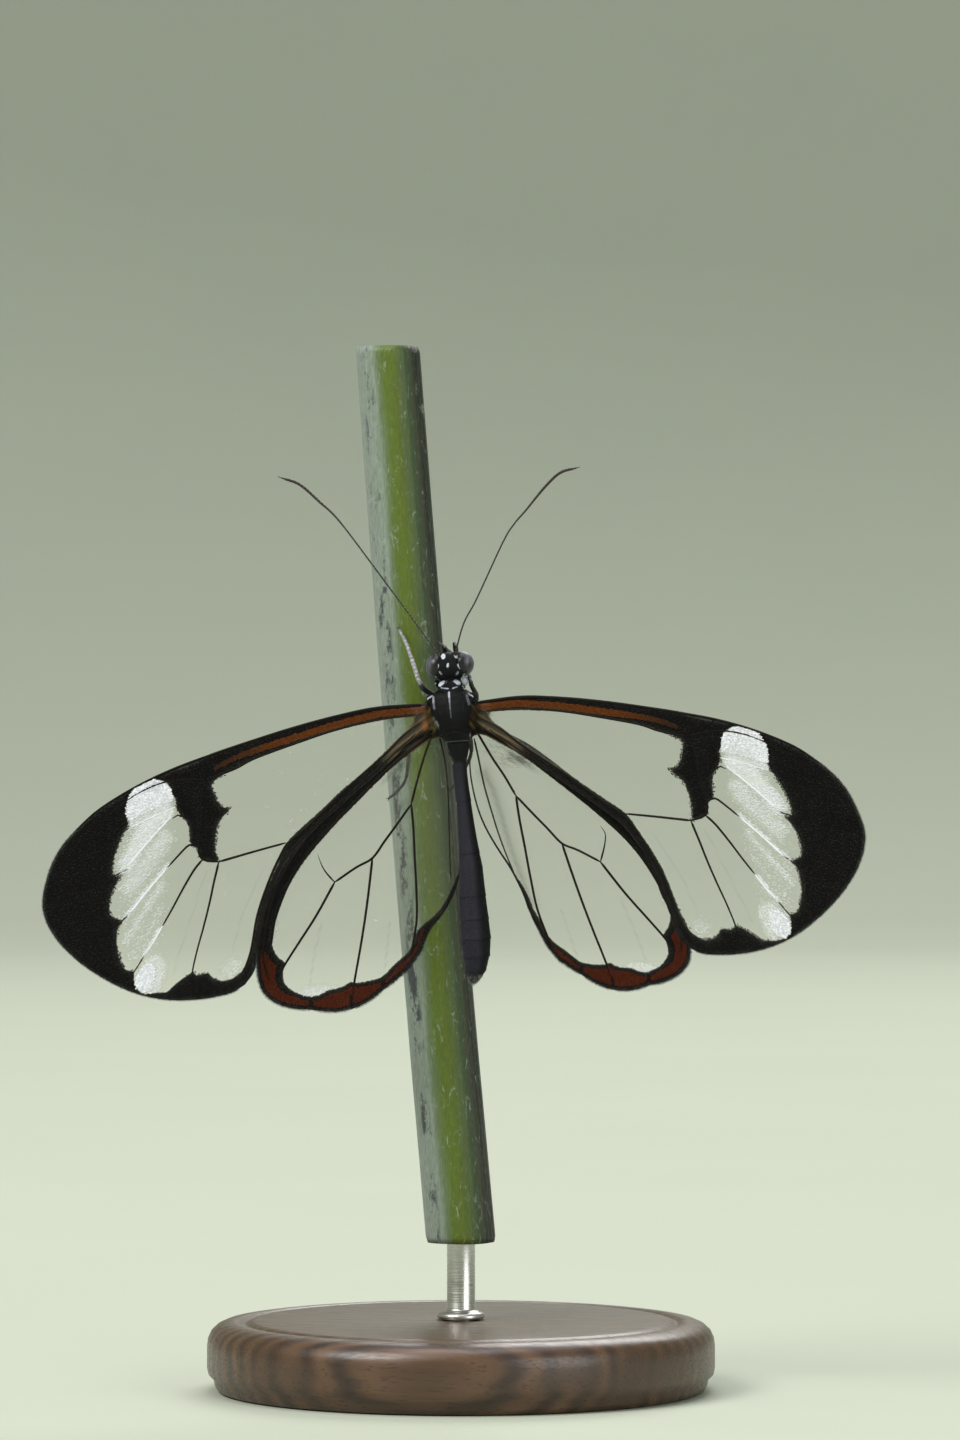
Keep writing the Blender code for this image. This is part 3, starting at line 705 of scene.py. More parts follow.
FORE_VEIL = (
    (17.8, 5.0), (20.9, 5.7), (21.5, 7.1), (21.9, 8.7), (22.2, 10.4), (22.5, 12.0), (22.4, 14.4), (21.9, 16.0),
    (21.4, 17.6), (19.6, 17.5), (19.3, 16.2), (19.5, 14.6), (19.0, 12.4), (18.5, 10.4), (18.6, 8.6),
    (18.0, 6.6),
)
# half width, strength, softness and line of each brighter stroke of the veil
FORE_VEIL_STROKES = (
    (0.5, 0.95, 0.45, ((18.4, 5.4), (19.5, 6.2), (20.6, 7.6), (21.4, 8.8))),
    (0.35, 0.8, 0.4, ((18.2, 4.9), (19.6, 5.5), (20.8, 5.9))),
    (0.11, 1.0, 0.1, ((17.75, 5.5), (19.3, 6.85), (21.3, 8.85))),
    (0.55, 0.62, 0.6, ((18.6, 7.2), (19.5, 8.5), (20.7, 9.7), (21.4, 10.4))),
    (0.1, 1.0, 0.12, ((18.45, 9.05), (19.9, 10.4), (21.9, 12.4))),
    (0.18, 0.62, 0.35, ((19.1, 10.4), (20.4, 12.05), (22.0, 14.0))),
    (0.12, 0.42, 0.3, ((19.3, 12.0), (20.4, 13.6), (21.6, 15.0))),
    (0.07, 1.0, 0.08, ((19.6, 13.4), (20.2, 14.3), (21.0, 15.3))),
    (0.75, 0.66, 0.35, ((20.2, 16.0), (20.6, 17.0))),
    (0.45, 0.42, 0.35, ((15.0, 16.5), (15.2, 16.8))),
)
# Each vein: radius at both ends, whether it is pale, and its points
FORE_VEINS = (
    (0.14, 0.06, 0, ((-0.4, 0.02), (2.9, -0.12), (5.8, 0.15), (8.8, 0.61), (11.7, 1.18), (14.6, 1.82),
                    (17.5, 2.54), (20.3, 3.51), (23.0, 4.79), (24.8, 6.1))),
    (0.07, 0.08, 0, ((-0.4, 0.64), (2.8, 0.68), (5.8, 1.05), (8.8, 1.7), (11.7, 2.42), (13.2, 3.0), (15.2, 3.5))),
    (0.09, 0.05, 0, ((15.2, 3.5), (17.6, 3.3), (20.0, 3.9), (22.6, 5.4), (25.0, 7.4))),
    (0.09, 0.1, 0, ((-0.4, 1.0), (1.2, 1.9), (2.8, 3.2), (5.8, 5.35), (8.7, 7.6), (10.2, 8.6))),
    (0.1, 0.07, 0, ((10.2, 8.6), (11.5, 10.7), (12.7, 13.2), (13.5, 15.8), (14.3, 17.4))),
    (0.07, 0.07, 0, ((-0.4, 1.2), (0.9, 2.3), (2.8, 3.7), (5.6, 5.7), (8.4, 7.8), (10.4, 9.6),
                    (11.6, 11.7), (12.5, 14.0), (13.4, 16.8))),
    (0.075, 0.09, 0, ((10.2, 8.5), (12.4, 8.85), (15.0, 9.3))),
    (0.09, 0.08, 0, ((15.0, 9.3), (16.1, 9.0), (16.3, 8.1), (15.9, 6.4), (15.7, 4.6), (15.2, 3.5))),
    (0.085, 0.05, 0, ((15.0, 9.3), (15.5, 10.7), (16.0, 12.2), (16.6, 13.8), (17.2, 15.3),
                      (17.7, 16.8), (17.9, 18.2))),
    (0.085, 0.06, 0, ((16.1, 9.0), (16.8, 9.7), (17.7, 10.9), (18.6, 12.2), (19.4, 13.3))),
    (0.06, 0.07, 1, ((19.4, 13.3), (20.2, 14.4), (20.9, 15.2))),
    (0.05, 0.05, 0, ((20.9, 15.2), (21.6, 16.1), (22.4, 16.9))),
    (0.085, 0.06, 0, ((16.3, 8.1), (16.9, 7.9), (17.7, 8.5), (18.6, 9.3))),
    (0.06, 0.08, 1, ((18.6, 9.3), (20.1, 10.7), (21.6, 12.2))),
    (0.06, 0.05, 0, ((21.6, 12.2), (22.9, 13.1), (25.2, 14.2))),
    (0.06, 0.06, 0, ((16.4, 6.3), (17.5, 5.75), (17.9, 5.95))),
    (0.06, 0.08, 1, ((17.9, 5.75), (19.5, 7.15), (21.4, 8.95))),
    (0.06, 0.05, 0, ((21.4, 9.1), (22.7, 9.6), (26.4, 11.0))),
    (0.05, 0.05, 1, ((17.5, 5.15), (19.2, 5.65), (21.0, 6.3))),
    (0.05, 0.05, 0, ((21.0, 6.3), (23.6, 7.4), (26.2, 8.9))),
)
# creases of the sheet, along which painted shade darkens the film
FORE_FOLDS = (((15.9, 9.8), (17.0, 12.2), (18.2, 14.8), (19.0, 16.6)), ((12.0, 9.9), (14.0, 13.0), (15.2, 16.2)))

# %% Hind wing plan
HIND_ROOT_EDGE = ((-1.05, -0.85), (-1.25, -0.3), (-1.5, 0.4))
HIND_FRONT = (
    (0.3, -0.65), (1.5, 0.0), (3.1, 0.95), (4.6, 2.15), (6.15, 3.5), (7.7, 4.85), (9.0, 6.1), (10.05, 7.2),
    (11.1, 8.6), (12.0, 10.1), (12.7, 11.5), (13.15, 12.9), (13.4, 14.3), (13.45, 15.6), (13.2, 16.8),
    (12.4, 17.65), (11.2, 18.15), (10.0, 18.35), (8.6, 18.6), (7.2, 18.5), (6.0, 18.05), (4.6, 17.15),
    (3.25, 16.2),
)
HIND_INNER = {
    "right": (
        (3.25, 16.2), (2.4, 15.0), (1.9, 13.7), (1.55, 12.6), (1.2, 11.2), (0.5, 9.5), (-0.3, 8.1),
        (-1.05, 6.6), (-1.5, 5.2), (-1.75, 3.4), (-1.7, 1.8), (-1.35, 0.9),
    ),
    "left": (
        (3.25, 16.2), (2.1, 14.9), (1.35, 13.4), (0.25, 12.1), (-0.6, 10.7), (-1.25, 8.9), (-1.6, 7.2),
        (-1.75, 5.2), (-1.75, 3.4), (-1.6, 1.8), (-1.3, 0.9),
    ),
}
HIND_WINDOW = (
    (-0.5, -0.1), (1.0, 0.8), (2.5, 1.75), (4.0, 3.0), (5.5, 4.3), (7.0, 5.6), (8.3, 6.85), (9.3, 7.9),
    (10.3, 9.2), (11.1, 10.6), (11.7, 11.9), (12.05, 12.9), (12.1, 13.6), (11.8, 14.4), (11.3, 14.75),
    (11.6, 15.5), (11.6, 16.2), (11.1, 16.8), (10.3, 17.2), (9.5, 17.3), (8.7, 16.9), (7.7, 16.8), (7.1, 16.4),
    (6.8, 16.6), (5.8, 16.5), (4.9, 16.3), (4.4, 15.8), (3.8, 15.3), (3.1, 14.8), (2.6, 14.1), (2.3, 13.2),
)
HIND_VEINS = (
    (0.15, 0.09, 0, ((-0.5, -0.6), (1.6, 0.35), (4.0, 1.95), (7.0, 4.5), (9.4, 6.8), (11.2, 9.3),
                    (12.3, 11.9), (12.8, 14.2), (12.6, 16.2))),
    (0.12, 0.08, 0, ((-0.5, -0.4), (2.2, 1.35), (5.2, 3.85), (8.2, 6.6), (10.2, 8.9), (11.6, 11.5), (12.2, 13.6))),
    (0.085, 0.085, 0, ((1.6, 4.45), (2.7, 5.75), (3.7, 6.9), (4.65, 8.0), (5.8, 8.55), (7.38, 9.47))),
    (0.09, 0.08, 0, ((1.6, 4.45), (1.65, 6.1), (1.8, 8.1), (1.95, 10.3), (2.2, 12.6), (2.9, 15.1))),
    (0.09, 0.08, 0, ((4.65, 8.0), (5.2, 10.4), (5.65, 12.2), (6.2, 14.2), (6.9, 16.6), (7.1, 17.6))),
    (0.09, 0.08, 0, ((7.38, 9.47), (8.9, 11.7), (10.3, 13.5), (11.35, 14.85), (12.0, 15.8))),
)
HIND_SIDE_VEINS = {
    "right": (
        (0.09, 0.085, 0, ((-0.8, -0.2), (0.1, 1.6), (0.9, 3.0), (1.6, 4.45))),
        (0.075, 0.02, 0, ((7.38, 9.47), (7.68, 8.78), (7.92, 8.1), (8.0, 7.5), (7.7, 7.0))),
        (0.07, 0.05, 0, ((-1.1, 0.2), (-0.95, 1.6), (-0.75, 3.6), (-0.35, 5.8), (0.0, 7.4),
                         (0.46, 9.0), (1.05, 10.8))),
    ),
    "left": (
        (0.09, 0.085, 0, ((-0.6, -0.6), (-0.25, -0.04), (0.34, 1.21), (0.9, 2.57), (1.6, 4.45))),
        (0.075, 0.02, 0, ((7.38, 9.47), (7.85, 8.81), (8.12, 8.2), (8.3, 7.4))),
        (0.07, 0.05, 0, ((-0.8, -0.4), (-0.95, 1.1), (-1.0, 2.5), (-0.91, 4.25), (-0.76, 6.0),
                         (-0.55, 8.3), (-0.43, 9.85))),
    ),
}
# creases of the sheet, along which painted shade darkens the film
HIND_FOLDS = (
    ((-0.58, 2.7), (-0.09, 3.95), (0.31, 5.8), (0.76, 8.2), (1.26, 10.2), (1.77, 12.1)),
    ((8.6, 12.2), (9.4, 14.6), (10.1, 17.3)),
    ((4.0, 12.6), (4.4, 14.4), (4.9, 16.6)),
)
HIND_NOTCHES = ((9.95, 18.35), (4.95, 17.3), (7.2, 18.5))


def left_of(ahead):
    """Directions on the plan, each turned a quarter to the left."""
    return np.stack([-ahead[:, 1], ahead[:, 0]], 1)


def wing_veins_of(name):
    """All veins of one wing, with the dark line along the hind wing's inner edge."""
    kind, side = name.split("_")
    if kind == "forewing":
        return FORE_VEINS
    edge = tuple((u + 0.04, v) for u, v in HIND_INNER[side][3:])
    return (*HIND_VEINS, *HIND_SIDE_VEINS[side], (0.085, 0.05, 0, edge))


def tucked(name, points):
    """The right hind wing's front edge, drawn in where the fore wing's dark band lies over it."""
    if name != "hindwing_right":
        return points
    under = np.exp(-(((points[:, 1] - 12.0) / 1.9) ** 2)) * smoothly(points[:, 0], 9.5, 11.5)
    return points - np.outer(under, (0.62, 0.0))


def wing_loop(name, inset):
    """A wing's closed outline, drawn in by inset except along its root."""
    kind, side = name.split("_")
    fore = kind == "forewing"
    edge = FORE_ROOT_EDGE if fore else HIND_ROOT_EDGE
    front, rear = (FORE_FRONT, FORE_REAR) if fore else (HIND_FRONT, HIND_INNER[side])
    margin = tucked(name, np.vstack([spline((edge[0], *front), 0.2)[:-1], spline((*rear, edge[-1]), 0.2)]))
    inward = left_of(directions(margin))
    keep = smoothly(margin[:, 0], 14.2, 16.5) if fore else smoothly(margin[:, 1], 12.5, 15.0)
    return np.vstack([margin + inward * (inset * keep)[:, None], edge[-2:0:-1]])


print("fore wing veins:", len(FORE_VEINS), "hind wing veins:", len(wing_veins_of("hindwing_right")))

# %% [markdown]
# ## What grows where on a wing
#
# The wing's finish and its scales have to agree, so one function answers for both. For any spot of the
# plan it gives distances in millimetres to the edges of the window, the warm stripe and the white
# patches, and soft strengths for the veil of white scales, the golden root, a painted orange highlight
# and the painted shade along the folds with a few darker patches. The mesh carries these as named
# values, and the material turns them into crisp edges of any fineness. That is sharper than painted
# colours would be on the same mesh.

# %% Markings of a wing
BLACK = np.array((0.0026, 0.0025, 0.0021))
WHITE = np.array((0.74, 0.75, 0.8))
ORANGE_BROWN = np.array((0.104, 0.027, 0.003))
DULL_BROWN = np.array((0.036, 0.014, 0.006))
RUST = np.array((0.054, 0.0085, 0.0012))
GOLD = np.array((0.12, 0.078, 0.022))
OLIVE = np.array((0.03, 0.021, 0.008))
AMBER_HIGHLIGHT = np.array((0.36, 0.12, 0.016))
# place and size of a painted orange highlight at the root of a wing
HIGHLIGHT_SPOTS = {"forewing_left": ((-0.32, 1.6), (0.18, 0.46))}
FAR_OFF = ((9.0, -9.0), (0.1, 0.1))
FOLD_WIDTH = 0.15


def bell(value, middle, width):
    """1 at the middle of a range and a soft fall to both sides."""
    return np.exp(-(((value - middle) / width) ** 2))


def folded(spots, lines, width):
    """Soft strength along each of a few lines, added up."""
    return sum(bell(to_line(spots, np.array(line)), 0, width) for line in lines)


def fore_markings(spots):
    """Distances and strengths of the fore wing's markings."""
    u, v = spots.T
    width = 0.235 - 0.08 * smoothly(u, 9.0, 15.0)
    reach = smoothly(u, -1.5, -0.5)
    stripe = (width - to_line(spots, spline(FORE_STRIPE, 0.5))) * reach - 5 * smoothly(u, 14.5, 15.5)
    white = np.maximum(depth_in(spots, rounded(FORE_PATCH)), depth_in(spots, rounded(FORE_SPOT)))
    veil = smoothly(depth_in(spots, rounded(FORE_VEIL)), -0.3, 0.6) * (0.29 - 0.09 * smoothly(v, 7.0, 12.5))
    for half, strength, soft, line in FORE_VEIL_STROKES:
        veil = np.maximum(veil, strength * smoothly(half - to_line(spots, np.array(line)), -soft, soft * 0.6))
    warm = ORANGE_BROWN + (DULL_BROWN - ORANGE_BROWN) * smoothly(u, 9.0, 14.5)[:, None]
    gold = (1 - smoothly(np.hypot(u + 0.5, v - 1.2), 2.2, 5.2)) * smoothly(v - 0.62 * u, 0.2, 0.7)
    # painted shade along the creases
    folds = folded(spots, FORE_FOLDS, FOLD_WIDTH)
    return {
        "window": depth_in(spots, rounded(FORE_WINDOW)), "stripe": stripe, "white": white, "veil": veil,
        "gold": gold, "shade": np.clip(folds * 0.28, 0, 1), "warm": warm, "across": v - 0.66 * u, "ahead": u,
    }


def hind_markings(spots, name):
    """Distances and strengths of the hind wing's markings."""
    u, v = spots.T
    loop = wing_loop(name, 0.0)
    side = name.split("_")[1]
    inner = np.array(HIND_INNER[side][3:])
    inner[:, 0] += 0.02 + 0.38 * smoothly(inner[:, 1], 8.5, 12.0)
    window = depth_in(spots, rounded(np.vstack([HIND_WINDOW, inner, (-1.5, 0.2)])))
    edge = depth_in(spots, loop)
    band = np.minimum(edge - 0.4, -window - 0.33 - 0.25 * smoothly(u, 10.8, 12.4))
    band = np.minimum(band, 0.1 + smoothly(v, 13.3, 16.0) * 0.5 - smoothly(u, 11.5, 13.4) * 0.25)
    for notch in HIND_NOTCHES:
        band = np.minimum(band, np.hypot(u - notch[0], (v - notch[1]) * 0.15) - 0.17)
    band = np.where(v > (12.9 if side == "right" else 12.2), band, -1.0)
    frost = smoothly(0.9 - np.hypot((u - 12.0) * 2.0, v - 12.1) * 0.8, 0, 0.7)
    frost = np.maximum(frost, 0.8 * smoothly(1.0 - np.hypot((u - 9.3) * 0.55, (v - 17.0) * 1.6), 0, 0.6))
    gold = 1 - smoothly(np.hypot(u + 1.0, v + 0.2), 1.4, 3.6)
    # darker patches, added to the shade value: a streak near the root along the band, and on the right wing a broad
    # band along the first fold
    darker_patches = np.exp(-(((u - 2.3) / 1.1) ** 2) - ((v - 0.72 * u - 0.35) / 0.3) ** 2)
    # painted shade along the creases
    folds = folded(spots, HIND_FOLDS, FOLD_WIDTH)
    if side == "right":
        darker_patches = darker_patches + 0.42 * folded(spots, HIND_FOLDS[:1], 0.85)
    return {
        "window": window, "stripe": band, "white": np.full(len(spots), -1.0), "veil": frost * 0.8,
        "gold": gold * 0.8, "shade": np.clip(folds * 0.32 + darker_patches, 0, 1), "warm": np.tile(RUST, (len(spots), 1)),
        "across": v - 0.72 * u + 5, "ahead": u,
    }


def markings(name, spots):
    """Markings of either wing, as named values. The left fore wing's hind band is a little narrower."""
    if name == "forewing_left":
        narrow = smoothly(spots[:, 1], 7.5, 10.5) * (1 - smoothly(spots[:, 0], 14.5, 16.0))
        spots = spots + np.outer(narrow, (0.27, 0.0))
    made = fore_markings(spots) if name.startswith("fore") else hind_markings(spots, name)
    # a painted orange highlight on the left fore wing's root
    spot, size = HIGHLIGHT_SPOTS.get(name, FAR_OFF)
    made["amber"] = np.exp(-((((spots - spot) / size) ** 2).sum(1)))
    return made


def scale_colours(marks, u):
    """The colour of a scale at each spot, as its root lies in the markings."""
    colours = np.tile(BLACK, (len(u), 1))
    beside = marks["stripe"] < 0.02
    brownish = (np.abs(marks["window"]) < 0.14) | (rng.random(len(u)) < 0.04)
    colours = blend(colours, DULL_BROWN * 0.45, brownish * rng.uniform(0, 1, len(u)))
    colours = blend(colours, marks["warm"], marks["stripe"] > 0)
    rim = bell(marks["window"], -0.1, 0.08) * (1 - smoothly(u, 7.0, 12.0))
    colours = blend(colours, OLIVE, rim * 0.9 * beside)
    colours = blend(colours, GOLD * 0.8, marks["gold"] * rng.uniform(0.1, 1.0, len(u)) * beside)
    return blend(colours, WHITE, (marks["white"] > -0.03) | ((marks["window"] > 0.02) & (marks["white"] > -0.25)))


def blend(colours, other, share):
    """Colours moved towards another colour by a share."""
    return colours + (other - colours) * np.asarray(share, float)[:, None]


print("markings ready")

# %% [markdown]
# ## Wing membranes
#
# A wing is a sheet of clear chitin a few hundredths of a millimetre thick. It is made as a thin closed
# shell: the plan is filled with small triangles by a constrained Delaunay net, laid on the body twice, a
# little above and a little below the middle surface, and closed at the rim. Between veins the sheet bows
# a little, which gives the window its soft broken reflections.

# %% Membrane mesh
SHEET_HALF, SHEET_INSET = 0.022, 0.14
NET_STEP = 0.25
DUSTINESS = {"forewing_right": 0.0, "forewing_left": 1.0, "hindwing_right": 0.1, "hindwing_left": 0.8}


def plan_net(loop, step):
    """Spots and triangles that fill a closed outline."""
    low, high = loop.min(0), loop.max(0)
    grid = []
    for k, height in enumerate(np.arange(low[1], high[1], step * 0.87)):
        row = np.arange(low[0] + (k % 2) * step / 2, high[0], step)
        grid.append(np.stack([row, np.full(len(row), height)], 1))
    grid = np.vstack(grid)
    grid = grid[depth_in(grid, loop) > step * 0.45]
    spots = [Vector(spot) for spot in np.vstack([loop, grid])]
    made = delaunay_2d_cdt(spots, [], [list(range(len(loop)))], 1, 1e-4)
    return np.array([tuple(spot) for spot in made[0]]), [tuple(face) for face in made[2]]


def relief(name, spots):
    """How far the sheet bows off its middle surface between the veins."""
    u, v = spots.T
    near = np.min([to_line(spots, np.array(vein[3])) for vein in wing_veins_of(name)], axis=0)
    wave = np.sin(u * 0.9 + v * 0.4) * np.sin(v * 0.8 - u * 0.25)
    return 0.12 * (1 - np.exp(-near / 0.7)) + 0.03 * wave * smoothly(near, 0.1, 0.8)


def shell(lower, upper, triangles):
    """Points and faces of a closed shell between two skins over the same triangles."""
    count = len(lower)
    faces = [tuple(face) for face in triangles] + [tuple(count + i for i in reversed(face)) for face in triangles]
    sides = {pair for a, b, c in triangles for pair in ((a, b), (b, c), (c, a))}
    rim = sorted(pair for pair in sides if pair[::-1] not in sides)
    faces += [(b, a, count + a, count + b) for a, b in rim]
    return np.vstack([lower, upper]), faces


def membrane(name, finish):
    """The clear sheet of one wing, with its markings as named values."""
    spots, triangles = plan_net(wing_loop(name, SHEET_INSET), NET_STEP)
    bow = relief(name, spots)
    half = SHEET_HALF + 0.07 * (1 - smoothly(spots[:, 0], -1.0, 1.5))
    points, faces = shell(on_wing(name, spots, bow - half), on_wing(name, spots, bow + half), triangles)
    marks = markings(name, spots)
    marks["dust"] = np.full(len(spots), DUSTINESS[name])
    warm = np.hstack([marks.pop("warm"), np.ones((len(spots), 1))])
    values = {label: np.tile(column, 2) for label, column in marks.items()}
    values["warm"] = np.tile(warm, (2, 1))
    place(new_piece(name + "_sheet", points, faces, finish, values), kind_of(name), name)


# %% [markdown]
# The membrane's finish blends four surfaces by the named values: the clear window, almost fully
# transparent with a pale film and a weak gloss, the veil of thin white scales, the opaque dark or warm
# scale bands, and the golden root. Painted shade darkens the film along the folds, and a painted orange
# highlight lies on the left fore wing's root. Alpha carries the transparency, which the real sheet has
# because it is too thin to bend light.

# %% Membrane finish
def membrane_finish():
    """Clear, veiled and scaled parts of a wing in one material."""
    made, tree, shader = new_finish("wing_membrane", 0.3, Specular_IOR_Level=0.5)
    spot = object_place(tree)
    wider = plus(tree, attribute(tree, "window"), 0.03)
    dark = minus(tree, 1.0, masked(tree, wider, spot, 0.05, 0.1, 7.0))
    warm = masked(tree, attribute(tree, "stripe"), spot, 0.05, 0.12, 6.0)
    white = masked(tree, attribute(tree, "white"), spot, 0.05, 0.12, 8.0)
    grain = grained(tree, spot, 7.0)
    dust = use_group(tree, DUST, {"Place": spot, "Scale": 1.1, "Amount": 0.17}).outputs[0]
    dust = times(tree, dust, attribute(tree, "dust"))
    # the shade value darkens the pale film: painted shade along the folds, with a few darker patches
    ground = mix(tree, attribute(tree, "shade"), (0.3, 0.31, 0.24, 1), (0.08, 0.085, 0.07, 1))
    ground = mix(tree, math_of(tree, "MAXIMUM", attribute(tree, "veil"), dust), ground, (0.82, 0.83, 0.84, 1))
    scaled = mix(tree, warm, (*BLACK, 1), attribute(tree, "warm", "Color"))
    across, ahead = times(tree, attribute(tree, "across"), 3.4), times(tree, attribute(tree, "ahead"), 0.35)
    streak = noise(tree, add_node(tree, "ShaderNodeCombineXYZ", {0: across, 1: ahead}), 1.0, 3.0, Distortion=0.3)
    root = mix(tree, between(tree, streak, 0.42, 0.5), (0.004, 0.003, 0.002, 1), (*(OLIVE * 0.8), 1))
    root = mix(tree, between(tree, streak, 0.52, 0.62), root, (*GOLD, 1))
    # the painted orange highlight at the root
    root = mix(tree, attribute(tree, "amber"), root, (*AMBER_HIGHLIGHT, 1))
    rim = math_of(tree, "COMPARE", attribute(tree, "window"), -0.06, 0.07)
    root = mix(tree, times(tree, rim, 0.6), root, (*GOLD, 1))
    not_warm = minus(tree, 0.92, warm)
    scaled = mix(tree, times(tree, attribute(tree, "gold"), not_warm), scaled, root)
    colour = mix(tree, white, mix(tree, dark, ground, scaled), (*WHITE, 1))
    clear = plus(tree, 0.06, times(tree, attribute(tree, "veil"), 0.42))
    # the painted shade also makes the film less see-through
    clear = math_of(tree, "MAXIMUM", clear, times(tree, attribute(tree, "shade"), 0.42))
    clear = math_of(tree, "MAXIMUM", clear, times(tree, dust, 0.55))
    opaque = math_of(tree, "MAXIMUM", dark, white)
    alpha = between(tree, opaque, 0.0, 1.0, clear, 1.0)
    rough = between(tree, opaque, 0.0, 1.0, 0.24, 0.7)
    normal = bump(tree, grain["Height"], 0.02, 0.35)
    connect(tree, shader, Base_Color=colour, Alpha=alpha, Roughness=rough, Normal=normal)
    return made


MEMBRANE = membrane_finish()
WINGS = ("forewing_right", "forewing_left", "hindwing_right", "hindwing_left")
for name in WINGS:
    membrane(name, MEMBRANE)

# %% [markdown]
# ## Veins
#
# The veins are hollow tubes that stiffen the sheet, about a sixth of a millimetre wide. Each is swept
# along its line at the height of the bowed membrane, so it stands out on both faces as a real vein does.
# White scales cover some stretches, told by a named value.

# %% Veins
VEIN_SLIMNESS, VEIN_SIDES = 0.98, 8


def vein_finish():
    """Dark brown chitin, or white where pale scales cover a vein."""
    made, tree, shader = new_finish("veins", 0.55, Specular_IOR_Level=0.1)
    dark = mix(tree, noise(tree, object_place(tree), 1.5), (0.003, 0.0026, 0.0022, 1), (0.012, 0.008, 0.005, 1))
    dark = mix(tree, attribute(tree, "gold"), dark, (0.03, 0.019, 0.008, 1))
    connect(tree, shader, Base_Color=mix(tree, attribute(tree, "pale"), dark, (*WHITE, 1)))
    return made


def wing_veins(name, finish):
    """All veins of one wing as one mesh of closed tubes."""
    parts, pale, gold = [], [], []
    for index, (first, last, white, line) in enumerate(wing_veins_of(name)):
        spots = spline(line, 0.35)
        if index == 0:
            spots = tucked(name, spots)
        radii = np.linspace(first, last, len(spots)) * VEIN_SLIMNESS
        radii[[0, -1]] *= 0.5
        middle = on_wing(name, spots, relief(name, spots))
        parts.append(tube(middle, radii, VEIN_SIDES))
        pale.append(np.full(len(spots) * VEIN_SIDES, float(white)))
        most = 0.0 if index == 0 else 0.5
        gold.append(np.repeat(most - most * smoothly(np.hypot(*spots.T), 1.6, 4.6), VEIN_SIDES))
    values = {"pale": np.hstack(pale), "gold": np.hstack(gold)}
    place(new_piece(name + "_veins", *joined(parts), finish, values), kind_of(name))


VEIN_FINISH = vein_finish()
for name in WINGS:
    wing_veins(name, VEIN_FINISH)

# %% [markdown]
# ## Scales on the wings
#
# Scales stand in curved rows like roof tiles, each pointing away from the wing's root. Their roots are
# laid out on circles around the root, closer along a row than between rows, and kept only where the
# markings are scaled. Chance thins them out over the last tenth of a millimetre, which gives every
# marking its ragged edge, and leaves a few strays on the window.

# %% Wing scales
SCALE_WIDTH, SCALE_LENGTH, SCALE_INSET = 0.105, 0.2, 0.16
DIRECTION_STEP = 0.05
ROW_STEP = {True: 0.115, False: 0.15}
SCALE_STEP = {True: 0.08, False: 0.11}
ROW_CENTRE = {"forewing": np.array((-4.0, 1.0)), "hindwing": np.array((-3.0, -4.0))}


def arc_rows(centre, radii, step, start):
    """Spots along circles round a centre, each row begun by chance."""
    rows = []
    for radius in radii:
        turns = np.arange(start, 1.9, step / radius) + rng.uniform(0, step / radius)
        rows.append(centre + radius * np.stack([np.cos(turns), np.sin(turns)], 1))
    return np.vstack(rows)


def scale_spots(name, upper):
    """Jittered spots in curved rows over a whole wing, closer on the upper face."""
    loop = wing_loop(name, SCALE_INSET)
    centre = ROW_CENTRE[kind_of(name)]
    reach = np.linalg.norm(loop - centre, axis=1).max()
    spots = arc_rows(centre, np.arange(1.5, reach, ROW_STEP[upper]), SCALE_STEP[upper], -0.6)
    spots += rng.normal(0, 0.014, spots.shape)
    heading = unit(spots - centre)
    tips = spots + heading * SCALE_LENGTH * (1.0 if upper else 1.3)
    low, high = loop.min(0), loop.max(0)
    near = ((spots > low) & (spots < high)).all(1)
    spots, tips, heading = spots[near], tips[near], heading[near]
    u, v = spots.T
    front = (v < 0.4 * u + 0.5) & (u < 17) & name.startswith("fore")
    kept = (depth_in(spots, loop) > np.where(front, 0.15, 0.03)) & (depth_in(tips, loop) > 0.0)
    return spots[kept], heading[kept]


def streaks(spots, name):
    """An unevenness in streaks that run outwards from the root, up to about a tenth of a millimetre."""
    away = spots - ROW_CENTRE[kind_of(name)]
    turn = np.arctan2(away[:, 1], away[:, 0])
    made = np.zeros(len(spots))
    for step, size in ((0.0045, 0.05), (0.014, 0.06)):
        grid = np.arange(-1.2, 2.6, step)
        made += size * np.interp(turn, grid, rng.normal(0, 1, len(grid)))
    return made


def scaled_share(marks, uneven):
    """How likely a spot is to carry a scale."""
    dark = smoothly(-marks["window"] + uneven, -0.05, 0.05)
    dark = dark * (1 - smoothly(marks["gold"], 0.12, 0.45) * (marks["stripe"] < 0))
    white = smoothly(marks["white"] + uneven * 0.7, -0.05, 0.05)
    return np.maximum(dark, white)


def laid_on(name, spots, heading, lift, tilt):
    """Roots on a wing: places, the way they lie and the way they face."""
    step = DIRECTION_STEP
    here = on_wing(name, spots, lift)
    ahead = unit(on_wing(name, spots + heading * step, lift) - here)
    aside = on_wing(name, spots + left_of(heading) * step, lift) - here
    face = unit(np.cross(ahead, aside))
    above = on_wing(name, spots, lift + np.sign(lift.mean()) * step) - here
    face *= np.sign((face * above).sum(1))[:, None]
    lie = ahead * np.cos(tilt)[:, None] + face * np.sin(tilt)[:, None]
    return {"places": here, "lie": lie, "up": face}


def chosen(kept, spots, heading, marks):
    """The kept spots, with their headings and markings."""
    return spots[kept], heading[kept], {label: column[kept] for label, column in marks.items()}


